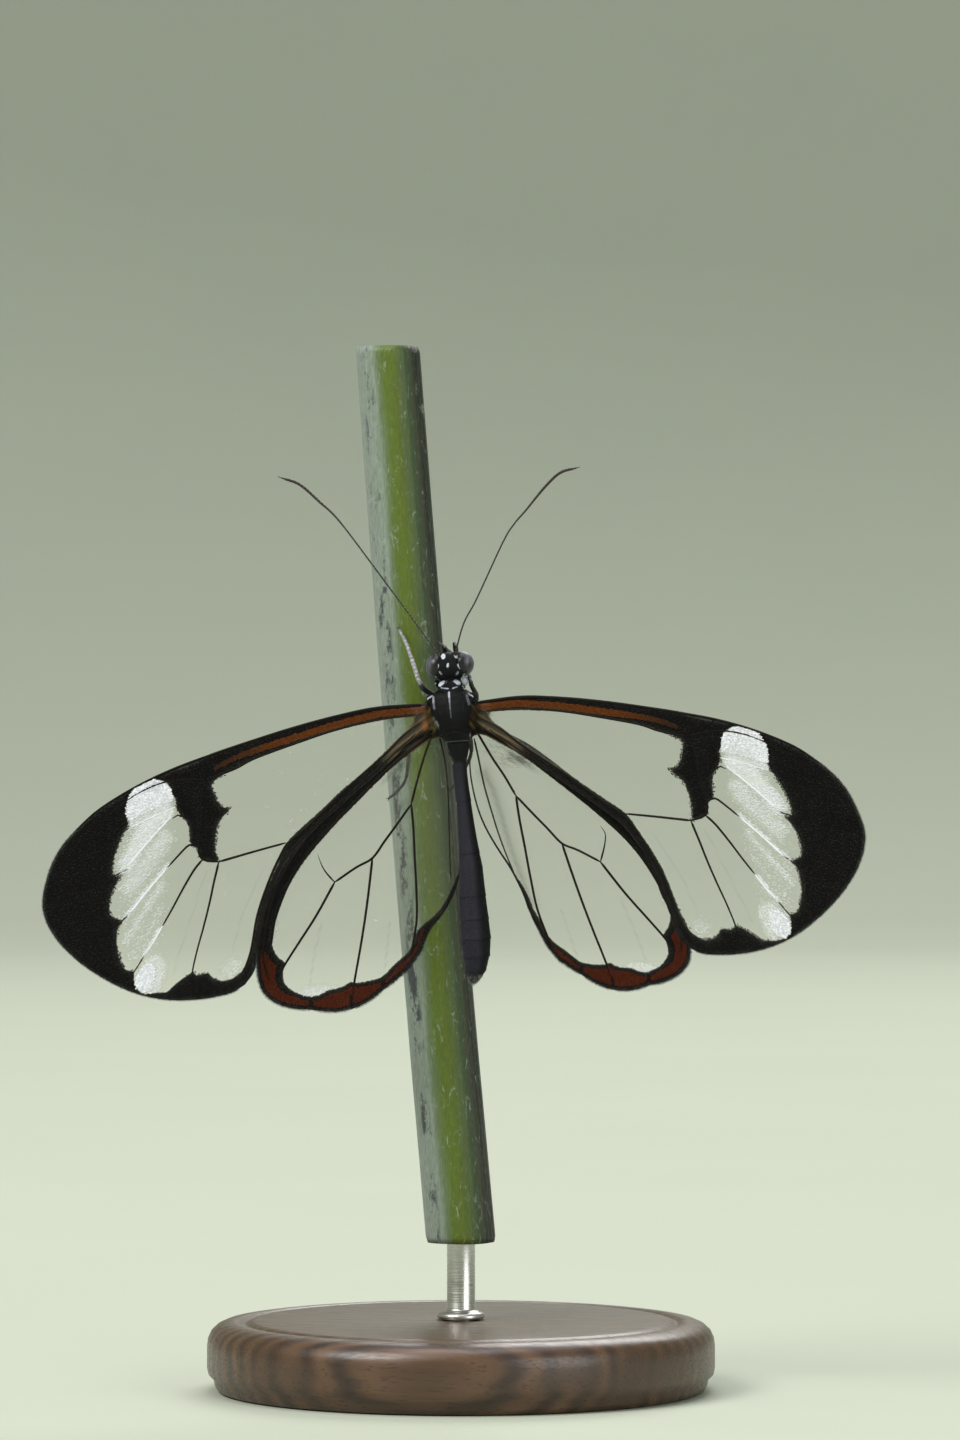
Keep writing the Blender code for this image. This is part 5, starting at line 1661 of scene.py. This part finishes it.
def eye(side, finish):
    """One eye as an oval ball with its poles turned to head and tail."""
    rings, sides = 48, 64
    _, _, facing = ball(rings, sides, 0.02)
    outwards = facing[:, 0] * SIDE[side]
    # painted sheen: lighter outwards and towards the front, darker towards the head
    front = smoothly(facing[:, 1], -0.55 if side == "left" else -0.3, 0.35)
    sheen = smoothly(outwards, 0.1, 0.75) * (0.25 + 0.75 * front) * (1 - 0.5 * smoothly(outwards, 0.95, 1.0))
    # a dark patch painted into the right eye's sheen
    blotch = np.exp(-(((outwards - 0.7) / 0.16) ** 2) - ((facing[:, 1] + 0.12) / 0.28) ** 2)
    sheen = sheen * (1 - 0.85 * blotch * (side == "right"))
    points = on_body(facing * EYE_RADII + EYE_AT[side])
    piece = new_piece(f"eye_{side}_dome", points, ring_faces(rings, sides), finish, {"sheen": sheen})
    place(piece, "eye", "eye_" + side)


EYE_FINISH = eye_finish()
for side in SIDE:
    eye(side, EYE_FINISH)

# %% [markdown]
# ## Feelers
#
# A feeler is a chain of some forty short rings, each a little wider at its far end, swelling into a slim
# club. Geometry Nodes set one ring after another along the feeler's line and scale each by the radius
# stored there, so the number of rings is a single input.

# %% Antennae
ANTENNA_LINES = {
    "left": (
        (-0.5, 4.12, -0.72), (-0.76, 4.62, -0.88), (-1.71, 6.2, -0.98), (-4.16, 10.17, -1.4),
        (-6.61, 14.06, -1.85), (-7.9, 15.56, -2.05), (-9.15, 16.85, -2.27), (-10.35, 17.43, -2.5),
    ),
    "right": (
        (0.62, 4.18, -0.72), (0.76, 4.68, -0.88), (1.41, 6.37, -0.95), (2.49, 8.02, -1.15),
        (4.62, 11.66, -1.52), (5.5, 12.85, -1.67), (6.49, 13.81, -1.82), (7.96, 15.28, -2.05),
        (9.11, 16.15, -2.27), (10.28, 16.39, -2.5),
    ),
}


def feeler_tree():
    """Rings set along a line, each as thick as the line says."""
    tree, given, result = new_group(
        "ringed feeler", "GeometryNodeTree",
        [("Line", "Geometry", None), ("Rings", "Int", 44), ("Overlap", "Float", 1.06),
         ("Finish", "Material", None)],
        [("Feeler", "Geometry")],
    )
    curve = add_node(tree, "GeometryNodeMeshToCurve", {"Mesh": given["Line"]})
    length = add_node(tree, "GeometryNodeCurveLength", {"Curve": curve})
    spots = add_node(tree, "GeometryNodeCurveToPoints", {"Curve": curve, "Count": given["Rings"]}, mode="COUNT")
    ring = cone_of(tree, 14, 2, 0.88, 1.0)
    pitch = math_of(tree, "DIVIDE", length, given["Rings"])
    long = times(tree, pitch, given["Overlap"])
    thick = named(tree, "thick", "FLOAT")
    sizes = add_node(tree, "ShaderNodeCombineXYZ", {0: thick, 1: thick, 2: long})
    real = real_copies(tree, spots.outputs["Points"], ring, spots.outputs["Rotation"], sizes)
    smooth = add_node(tree, "GeometryNodeSetShadeSmooth", {"Geometry": real})
    dressed = add_node(tree, "GeometryNodeSetMaterial", {"Geometry": smooth, "Material": given["Finish"]})
    tree.links.new(dressed.outputs[0], result[0])
    return tree


def feeler_finish():
    """Dark brown rings with a cloudy change of tone."""
    made, tree, shader = new_finish("feeler", 0.42, Specular_IOR_Level=0.4)
    spot = object_place(tree)
    colour = mix(tree, noise(tree, spot, 2.5, 3.0), (0.006, 0.005, 0.005, 1), (0.038, 0.026, 0.018, 1))
    grain = grained(tree, spot, 14.0)
    connect(tree, shader, Base_Color=colour, Normal=bump(tree, grain["Height"], 0.01, 0.5))
    return made


FEELER_TREE, FEELER_FINISH = feeler_tree(), feeler_finish()


def antenna(side):
    """One feeler from its line and its changing thickness."""
    path = spline(ANTENNA_LINES[side], 0.2)
    share = np.linspace(0, 1, len(path))
    thick = 0.06 + 0.035 * np.exp(-share / 0.012) + 0.046 * smoothly(share, 0.6, 0.9)
    thick = thick - 0.085 * smoothly(share, 0.955, 1.01)
    name = "antenna_" + side
    mesh = bpy.data.meshes.new(name + "_rings")
    mesh.from_pydata((on_body(path) * MM).tolist(), [(i, i + 1) for i in range(len(path) - 1)], [])
    store(mesh, "thick", thick * MM)
    piece = run_tree(add_object(mesh.name, mesh), FEELER_TREE, finish=FEELER_FINISH, rings=64, overlap=1.12)
    place(piece, "antenna", name)


for side in SIDE:
    antenna(side)

# %% [markdown]
# ## Mouth parts
#
# Two short upturned feelers, the palps, stand in front of the face, black with white scales below, and
# the tongue is coiled under the head like a watch spring. The palps are tubes, the tongue is a tube
# along a spiral.

# %% Palps and tongue
PALP_LINES = {
    "right": ((0.34, 3.95, 0.85), (0.42, 4.45, 0.95), (0.45, 4.9, 0.55), (0.5, 5.06, -0.1)),
    "left": ((-0.28, 3.95, 0.85), (-0.33, 4.45, 0.95), (-0.34, 4.85, 0.55), (-0.3, 4.95, -0.05)),
}
PALP_SIDES = 20
COIL_AT, COIL_RADIUS = np.array((0.05, 3.95, 1.9)), 0.52


def dark_finish(name, dark, pale, roughness):
    """Dark chitin with a mottling of paler scales where the named value pale says so."""
    made, tree, shader = new_finish(name, roughness, Specular_IOR_Level=0.4)
    spot = object_place(tree)
    grain = grained(tree, spot, 11.0)
    share = times(tree, attribute(tree, "pale"), between(tree, grain["Tone"], 0.6, 1.2, 0.45, 1.0))
    colour = mix(tree, share, dark, pale)
    connect(tree, shader, Base_Color=colour, Normal=bump(tree, grain["Height"], 0.02, 0.6))
    return made


LEG_FINISH = dark_finish("scaled_legs", (0.012, 0.01, 0.01, 1), (0.42, 0.42, 0.44, 1), 0.5)
TONGUE_FINISH = dark_finish("tongue", (0.03, 0.018, 0.012, 1), (0.1, 0.07, 0.05, 1), 0.35)


def palp(side):
    """One palp, narrow at the root, thick in the middle and pointed."""
    path = spline(PALP_LINES[side], 0.06)
    share = np.linspace(0, 1, len(path))
    radii = 0.1 + 0.09 * np.sin(math.pi * share**0.8) - 0.08 * smoothly(share, 0.85, 1.0)
    points, faces = tube(on_body(path), radii, PALP_SIDES)
    pale = np.repeat(0.9 * smoothly(np.sin(share * 9), 0.2, 0.9), PALP_SIDES)
    pale = pale * (np.tile(np.arange(PALP_SIDES), len(path)) < 7)
    place(new_piece(f"palp_{side}_skin", points, faces, LEG_FINISH, {"pale": pale}), "palp", "palp_" + side)


def tongue():
    """The tongue, coiled two and a half times and joined to the mouth."""
    turns = np.linspace(0, 5.2 * math.pi, 160)
    radius = COIL_RADIUS * (1 - 0.7 * turns / turns[-1])
    spiral = COIL_AT + np.stack([0.012 * turns, radius * np.cos(turns - 2.4), radius * np.sin(turns - 2.4)], 1)
    mouth = spline(((0.05, 4.0, 0.8), (0.05, 3.75, 1.15), spiral[0], spiral[3]), 0.05)[:-4]
    path = np.vstack([mouth, spiral[1:]])
    points, faces = tube(on_body(path), np.linspace(0.085, 0.035, len(path)), 12, hint=(1.0, 0.1, 0.1))
    piece = new_piece("tongue_coil", points, faces, TONGUE_FINISH, {"pale": np.full(len(points), 0.3)})
    place(piece, "tongue", "proboscis")


for side in SIDE:
    palp(side)
tongue()

# %% [markdown]
# ## Legs
#
# A leg has a stout thigh, a slender shin and a foot of five short joints with two claws. It is one tube
# whose radius is read from a table along the leg, so that the joints show as narrow necks. Shin and foot
# carry pale grey scales in faint bands. Short spines are grown along it with the hair tree.

# %% Legs
LEG_LINES = {
    "foreleg_left": ((-0.4, 1.3, 1.4), (-0.5, 1.55, 2.3), (-0.56, 2.15, 2.45), (-0.5, 1.55, 2.9)),
    "foreleg_right": ((0.4, 1.3, 1.4), (0.5, 1.55, 2.3), (0.56, 2.15, 2.45), (0.5, 1.55, 2.9)),
    "midleg_left": (
        (-0.7, 0.4, 1.3), (-1.22, 0.55, 2.1), (-1.62, 1.55, 2.0), (-2.27, 2.27, 1.4), (-2.92, 3.95, 2.6),
        (-3.46, 5.41, 3.6), (-4.02, 6.5, 4.42),
    ),
    "midleg_right": (
        (0.7, 0.4, 1.3), (1.1, 0.45, 2.0), (1.5, 1.25, 1.75), (1.32, 2.0, 1.1), (0.85, 3.2, 2.4),
        (-0.35, 4.5, 3.7), (-1.3, 5.3, 4.46),
    ),
    "hindleg_left": (
        (-0.5, -0.8, 1.3), (-0.9, -0.92, 2.05), (-2.4, -0.9, 2.35), (-3.6, -2.1, 2.8), (-4.2, -4.07, 3.6),
        (-5.0, -4.95, 4.3), (-5.8, -5.44, 5.0),
    ),
    "hindleg_right": (
        (0.4, -0.8, 1.3), (0.62, -0.95, 2.05), (0.72, -2.0, 2.7), (0.5, -3.0, 3.2), (-0.6, -4.4, 4.4),
        (-1.35, -5.2, 5.02),
    ),
}
# share of the leg's length, radius
LEG_TABLE = np.array((
    (0.0, 0.26), (0.1, 0.22), (0.12, 0.15), (0.16, 0.21), (0.38, 0.18), (0.42, 0.13), (0.44, 0.155),
    (0.7, 0.135), (0.73, 0.105), (0.75, 0.13), (0.815, 0.12), (0.82, 0.09), (0.83, 0.12), (0.875, 0.115),
    (0.88, 0.085), (0.89, 0.11), (0.925, 0.11), (0.93, 0.08), (0.94, 0.105), (0.965, 0.1), (0.97, 0.075),
    (0.98, 0.1), (1.0, 0.06),
))
LEG_SIDES = 18
# a claw's bends: ahead, aside, back
CLAW_LINE = ((-0.05, 0.02, 0), (0.1, 0.09, 0.01), (0.19, 0.1, 0.07), (0.21, 0.08, 0.15))
SEEN_LEG = "midleg_left"


def claws(path):
    """Two small hooks at the end of a leg."""
    tip, ahead = path[-1], directions(path)[-1]
    aside = np.cross(ahead, BACK)
    aside /= np.linalg.norm(aside)
    made = []
    for sign in (1, -1):
        hook = spline(tip + np.array([ahead * a + aside * sign * b + BACK * c for a, b, c in CLAW_LINE]), 0.04)
        made.append(tube(hook, np.linspace(0.035, 0.008, len(hook)), 8))
    return made


def leg(name):
    """One leg with its claws. The leg that shows its outer face carries pale scales, the others hardly any."""
    path = on_body(spline(LEG_LINES[name], 0.05))
    run = np.concatenate([[0], np.cumsum(np.linalg.norm(np.diff(path, axis=0), axis=1))])
    share = run / run[-1]
    stout, dim = (1.08, 1.0) if name == SEEN_LEG else (0.85, 0.05)
    radii = np.interp(share, LEG_TABLE[:, 0], LEG_TABLE[:, 1]) * stout
    limb = tube(path, radii, LEG_SIDES)
    bands = 0.75 + 0.25 * np.sin(run * 17)
    pale = np.repeat(smoothly(share, 0.37, 0.42) * (1 - smoothly(share, 0.965, 0.99)) * bands, LEG_SIDES)
    points, faces = joined([limb, *claws(path)])
    values = {"pale": np.concatenate([pale * dim, np.zeros(len(points) - len(pale))])}
    place(new_piece(name + "_skin", points, faces, LEG_FINISH, values), "leg", name)
    return name, path, share, radii


def leg_spines(parts):
    """Short spines and scales that stand off the shins and feet."""
    rows = []
    for name, path, share, radii in parts:
        ahead = directions(path)
        picks = rng.integers(int(len(path) * 0.15), len(path) - 4, 260)
        turn = rng.uniform(0, 2 * math.pi, len(picks))
        across = unit(np.cross(ahead[picks], BACK))
        other = np.cross(ahead[picks], across)
        up = across * np.cos(turn)[:, None] + other * np.sin(turn)[:, None]
        tilt = rng.uniform(0.12, 0.5, len(picks))[:, None]
        pale = (share[picks] > 0.43) & (rng.random(len(picks)) < (0.8 if name == SEEN_LEG else 0.05))
        rows.append({
            "places": path[picks] + up * (radii[picks] * 0.92)[:, None],
            "lie": ahead[picks] * np.cos(tilt) + up * np.sin(tilt), "up": up,
            "grow": rng.uniform(0.6, 1.2, len(picks)),
            "tint": tinted(np.where(pale[:, None], WHITE * 0.5, BODY_BLACK * 1.4), 0.3),
            "root_uv": patch_uv(0.02 + 0.95 * share[picks], 0.03 + (len(rows) + turn / 7) / 6.4),
        })
    size = {"width": 0.028, "length": 0.17, "thickness": 0.022, "spread": 0.2, "seed": 9}
    return coat("leg_spines", HAIR_COAT, gathered(rows), HAIR_FINISH, **size)


place(leg_spines([leg(name) for name in LEG_LINES]), "leg")

# %% [markdown]
# ## The stem
#
# The butterfly grips a green stem with blunt corners. One face is grey with wax, the next green with
# pale flecks and scars, and a dark line runs where they meet. The stem is lofted like its solid with
# finer ribs, and its finish reads a UV map with the turn around the stem and the height along it, so
# that every streak runs up the stem. Both ends are cut across and show pale pith.

# %% Stem
PERCH_FOOT, PERCH_TOP = 10.5, 74.0
PERCH_LEAN, PERCH_BOW = math.radians(4.75), 0.15
PERCH_HALF_WIDTH = (2.42, 2.22)
PERCH_CORNER, PERCH_CORNER_TURN = 0.045, math.radians(25)
STEM_SIDES = 160


def stem_ring(share, inset=0.0):
    """One cross-section of the stem, drawn in by inset."""
    height = PERCH_TOP - PERCH_FOOT
    lean = -math.tan(PERCH_LEAN) * height * share - PERCH_BOW * math.sin(math.pi * share)
    half = PERCH_HALF_WIDTH[0] + (PERCH_HALF_WIDTH[1] - PERCH_HALF_WIDTH[0]) * share
    turn = around(STEM_SIDES)
    ribs = 0.012 * np.sin(turn * 27 + 1.5 * np.sin(share * 9))
    ribs = ribs + 0.01 * np.sin(turn * 11 + share * 4) * np.sin(share * 40)
    reach = (half - 0.02) * (1 + PERCH_CORNER * np.cos(4 * (turn - PERCH_CORNER_TURN))) + ribs - inset
    level = np.full(STEM_SIDES, PERCH_FOOT + height * share)
    return np.stack([lean + reach * np.cos(turn), reach * np.sin(turn), level], 1)


def stem_finish():
    """Waxy green and grey stem skin, read around and along the stem."""
    made, tree, shader = new_finish("stem_skin", 0.55, Specular_IOR_Level=0.3)
    uv = add_node(tree, "ShaderNodeUVMap", uv_map="around")
    parts = add_node(tree, "ShaderNodeSeparateXYZ", {0: uv})
    spot = object_place(tree)
    long = object_place(tree, (1.0, 1.0, 0.16))
    wander = noise(tree, long, 0.9, 4.0, Roughness=0.65)
    turn = plus(tree, parts, times(tree, minus(tree, wander, 0.5), 0.055))
    ramp = add_node(tree, "ShaderNodeValToRGB", {0: turn})
    # the colours once round: painted shade at the right edge, near black, green behind, grey wax at the left, green
    # in front
    stops = (
        (0.0, (0.008, 0.01, 0.008)), (0.05, (0.02, 0.028, 0.012)), (0.1, (0.055, 0.08, 0.02)),
        (0.2, (0.07, 0.11, 0.022)), (0.33, (0.05, 0.085, 0.02)), (0.38, (0.19, 0.23, 0.18)),
        (0.5, (0.27, 0.32, 0.285)), (0.62, (0.25, 0.29, 0.26)), (0.685, (0.235, 0.29, 0.235)),
        (0.715, (0.13, 0.18, 0.085)), (0.745, (0.1, 0.152, 0.02)), (0.79, (0.1, 0.14, 0.013)),
        (0.835, (0.066, 0.102, 0.022)), (0.87, (0.048, 0.074, 0.034)), (0.91, (0.046, 0.05, 0.03)),
        (0.935, (0.014, 0.019, 0.014)), (1.0, (0.008, 0.01, 0.008)),
    )
    marks = ramp.color_ramp.elements
    for share, colour in stops[1:-1]:
        marks.new(share).color = (*colour, 1)
    marks[0].color, marks[-1].color = (*stops[0][1], 1), (*stops[-1][1], 1)
    blotch = noise(tree, object_place(tree, (1, 1, 0.35)), 1.1, 5.0)
    across = math_of(tree, "ABSOLUTE", minus(tree, turn, 0.64))
    near_line = between(tree, across, 0.045, 0.015)
    speckle = noise(tree, object_place(tree, (1, 1, 0.6)), 4.5, 4.0, Roughness=0.8)
    rough_blotch = plus(tree, blotch, times(tree, minus(tree, speckle, 0.5), 0.55))
    line = times(tree, near_line, between(tree, rough_blotch, 0.5, 0.62))
    colour = mix(tree, between(tree, speckle, 0.56, 0.68, 0.0, 0.45), ramp, (0.2, 0.18, 0.15, 1))
    colour = mix(tree, times(tree, line, 0.85), colour, (0.03, 0.028, 0.045, 1))
    flecks = noise(tree, object_place(tree, (1.3, 1.3, 0.55)), 1.5, 6.0, Roughness=0.72, Distortion=1.1)
    scurf = between(tree, flecks, 0.575, 0.66)
    colour = mix(tree, times(tree, scurf, 0.62), colour, (0.33, 0.39, 0.33, 1))
    fine = noise(tree, object_place(tree, (3, 3, 0.5)), 3.0, 4.0)
    colour = mix(tree, between(tree, fine, 0.3, 0.7, 0.0, 0.28), colour, (0.035, 0.045, 0.018, 1))
    height = plus(tree, times(tree, fine, 0.7), times(tree, flecks, 0.5))
    pith = add_node(tree, "ShaderNodeTexVoronoi", {"Vector": spot, "Scale": 5.0})
    cut = mix(tree, between(tree, pith.outputs["Distance"], 0.1, 0.5), (0.25, 0.29, 0.14, 1), (0.52, 0.55, 0.36, 1))
    colour = mix(tree, attribute(tree, "cut"), colour, cut)
    rough = between(tree, scurf, 0.0, 1.0, 0.42, 0.75)
    connect(tree, shader, Base_Color=colour, Roughness=rough, Normal=bump(tree, height, 0.08, 0.7))
    return made


def stem(finish):
    """The stem with rounded cut ends and its own map."""
    shares = np.linspace(0, 1, 150)
    rings = [stem_ring(0.0, inset) for inset in (1.9, 1.0, 0.35, 0.1)]
    rings += [stem_ring(share) for share in shares[1:-1]]
    rings += [stem_ring(1.0, inset) for inset in (0.1, 0.35, 1.0, 1.9)]
    points = np.vstack(rings)
    cut = np.zeros((len(rings), STEM_SIDES))
    cut[:3], cut[-3:] = 1.0, 1.0
    sag = np.zeros(len(rings))
    sag[[0, 1]], sag[[-2, -1]] = (0.1, 0.05), (-0.05, -0.1)
    points[:, 2] += np.repeat(sag, STEM_SIDES)
    piece = new_piece("stem_skin", points, ring_faces(len(rings), STEM_SIDES), finish, {"cut": cut.ravel()})
    layer = piece.data.uv_layers.new(name="around")
    heights = points[:, 2] / 20
    for face in piece.data.polygons:
        sides = [v % STEM_SIDES for v in face.vertices]
        wrap = max(sides) - min(sides) > STEM_SIDES / 2
        for loop, vertex, k in zip(face.loop_indices, face.vertices, sides):
            round_again = STEM_SIDES if wrap and k < STEM_SIDES / 2 else 0
            layer.data[loop].uv = ((k + round_again) / STEM_SIDES, heights[vertex])
    place(piece, "stem", "perch")


stem(stem_finish())

# %% [markdown]
# ## The stand
#
# A plain turned wooden foot and a thin steel rod hold the stem upright, as a display stand does. The
# foot is a profile spun round, with a soft edge and a shallow groove, and a finish of dark stained wood
# whose grain runs straight through. The rod is brushed around, with a small collar where it enters.

# %% Stand
def spun(profile, sides):
    """Points and faces of a profile of (radius, height) turned round the upright axis."""
    turns = around(sides)
    rings = [np.stack([r * np.cos(turns), r * np.sin(turns), np.full(sides, z)], 1) for r, z in profile]
    return np.vstack(rings), ring_faces(len(profile), sides)


def wood_finish():
    """Dark stained wood with straight grain and a satin varnish."""
    made, tree, shader = new_finish("stained_wood", 0.38, Coat_Weight=0.25, Coat_Roughness=0.25)
    warp = noise(tree, object_place(tree, (0.05, 0.4, 0.4)), 0.8, 3.0)
    inputs = {"Scale": 0.22, "Distortion": 4.0, "Detail": 3.0, "Detail Scale": 1.4}
    inputs["Vector"] = object_place(tree, (0.03, 1.0, 1.0))
    grain = add_node(tree, "ShaderNodeTexWave", inputs, bands_direction="Y")
    pores = noise(tree, object_place(tree, (0.25, 5.0, 5.0)), 1.3)
    colour = mix(tree, grain.outputs["Fac"], (0.03, 0.014, 0.008, 1), (0.105, 0.052, 0.026, 1))
    colour = mix(tree, between(tree, warp, 0.35, 0.7), colour, (0.06, 0.03, 0.016, 1))
    colour = mix(tree, between(tree, pores, 0.58, 0.68, 0.0, 0.6), colour, (0.014, 0.007, 0.005, 1))
    rough = between(tree, pores, 0.3, 0.7, 0.32, 0.5)
    connect(tree, shader, Base_Color=colour, Roughness=rough, Normal=bump(tree, pores, 0.03, 0.25))
    return made


def steel_finish():
    """Steel brushed around the rod."""
    made, tree, shader = new_finish("brushed_steel", 0.3, Metallic=1.0)
    lines = noise(tree, object_place(tree, (0.3, 0.3, 14.0)), 1.5, 3.0)
    colour = mix(tree, lines, (0.42, 0.41, 0.39, 1), (0.66, 0.64, 0.61, 1))
    connect(tree, shader, Base_Color=colour, Roughness=between(tree, lines, 0.3, 0.7, 0.22, 0.42))
    return made


BASE_PROFILE = [
    (0.2, 0.0), (16.9, 0.0), (17.25, 0.12), (17.45, 0.45), (17.55, 0.9), (17.9, 1.25), (18.0, 1.7),
    (18.0, 3.2), (17.93, 3.75), (17.7, 4.25), (17.3, 4.62), (16.8, 4.84), (16.2, 4.92), (15.7, 4.9),
    (15.5, 4.78), (15.3, 4.72), (15.1, 4.78), (14.9, 4.92), (14.5, 4.97), (10.0, 4.99), (1.6, 5.0),
    (1.35, 4.96), (1.3, 4.85), (1.3, 2.0), (0.2, 2.0),
]
ROD_PROFILE = [
    (0.1, 2.3), (0.98, 2.3), (1.0, 2.4), (1.0, 4.9), (1.0, 5.0), (1.28, 5.02), (1.62, 5.08), (1.7, 5.25),
    (1.62, 5.45), (1.3, 5.6), (1.06, 5.68), (1.0, 5.8), (1.0, 10.4), (1.0, 15.1), (0.9, 15.2), (0.1, 15.2),
]


def turned_piece(name, profile, sides, finish, slot, node):
    """A spun piece in place of its solid, with crisp corners kept."""
    piece = new_piece(name, *spun(profile, sides), finish)
    piece.data.set_sharp_from_angle(angle=math.radians(50))
    place(piece, slot, node)


turned_piece("stand_foot", BASE_PROFILE, 160, wood_finish(), "stand_wood", "stand_base")
turned_piece("stand_post", ROD_PROFILE, 48, steel_finish(), "stand_metal", "stand_rod")

# %% [markdown]
# ## Floor and light
#
# The model stands on a plain pale floor that curves up into a wall all round, so that no horizon shows
# from any side. The light is that of a bright overcast day made with large soft lamps: a key from the
# upper left, a weaker fill from the right, and one from above and behind that shines through the wings.

# %% Floor and lamps
FLOOR_RADIUS, WALL_CURVE, WALL_TOP = 1.5, 0.6, 2.2


def studio(finish):
    """A round floor with a wall that rises from it in a wide curve."""
    bend = np.linspace(0, math.pi / 2, 16)
    profile = [(r, 0.0) for r in (0.01, 0.1, 0.3, 0.6)]
    flat = FLOOR_RADIUS - WALL_CURVE
    profile += [(flat + WALL_CURVE * math.sin(a), WALL_CURVE * (1 - math.cos(a))) for a in bend]
    profile.append((FLOOR_RADIUS, WALL_TOP))
    points, faces = spun(np.array(profile) / MM, 96)
    # the second face would be a lid
    made = new_piece("studio_floor", points - (0, 0, 0.02), faces[:1] + faces[2:], finish, closed=False)


def floor_finish():
    """Pale matt paper with hardly any shine."""
    made, tree, shader = new_finish("pale_floor", 0.9, Specular_IOR_Level=0.15)
    cloud = noise(tree, object_place(tree), 0.02, 4.0)
    connect(tree, shader, Base_Color=mix(tree, cloud, (0.43, 0.46, 0.383, 1), (0.45, 0.48, 0.397, 1)))
    return made


def lamp(name, location, size, power, aim=(0.0, 0.0, 0.045), colour=(1, 1, 1)):
    """A large square lamp that points at the model and isn't seen itself."""
    data = bpy.data.lights.new(name, "AREA")
    data.shape, data.size, data.energy, data.color = "SQUARE", size, power, colour
    made = add_object(name, data)
    made.location = location
    made.rotation_euler = (Vector(aim) - Vector(location)).to_track_quat("-Z", "Y").to_euler()
    made.visible_camera = False


studio(floor_finish())
lamp("key", (-0.55, -0.6, 0.8), 0.55, 11.0, colour=(1.0, 0.985, 0.96))
lamp("fill", (0.75, -0.55, 0.35), 0.6, 4.0, colour=(0.95, 0.98, 1.0))
lamp("behind", (0.1, 0.75, 0.75), 0.6, 6.0)
lamp("top", (0.0, -0.05, 1.1), 0.6, 4.0)

world = bpy.data.worlds.new("soft_sky")
world.use_nodes = True
sky = world.node_tree.nodes["Background"].inputs
sky["Color"].default_value, sky["Strength"].default_value = (0.8, 0.84, 0.86, 1), 0.55
bpy.context.scene.world = world
bpy.context.scene.view_settings.view_transform = "Standard"
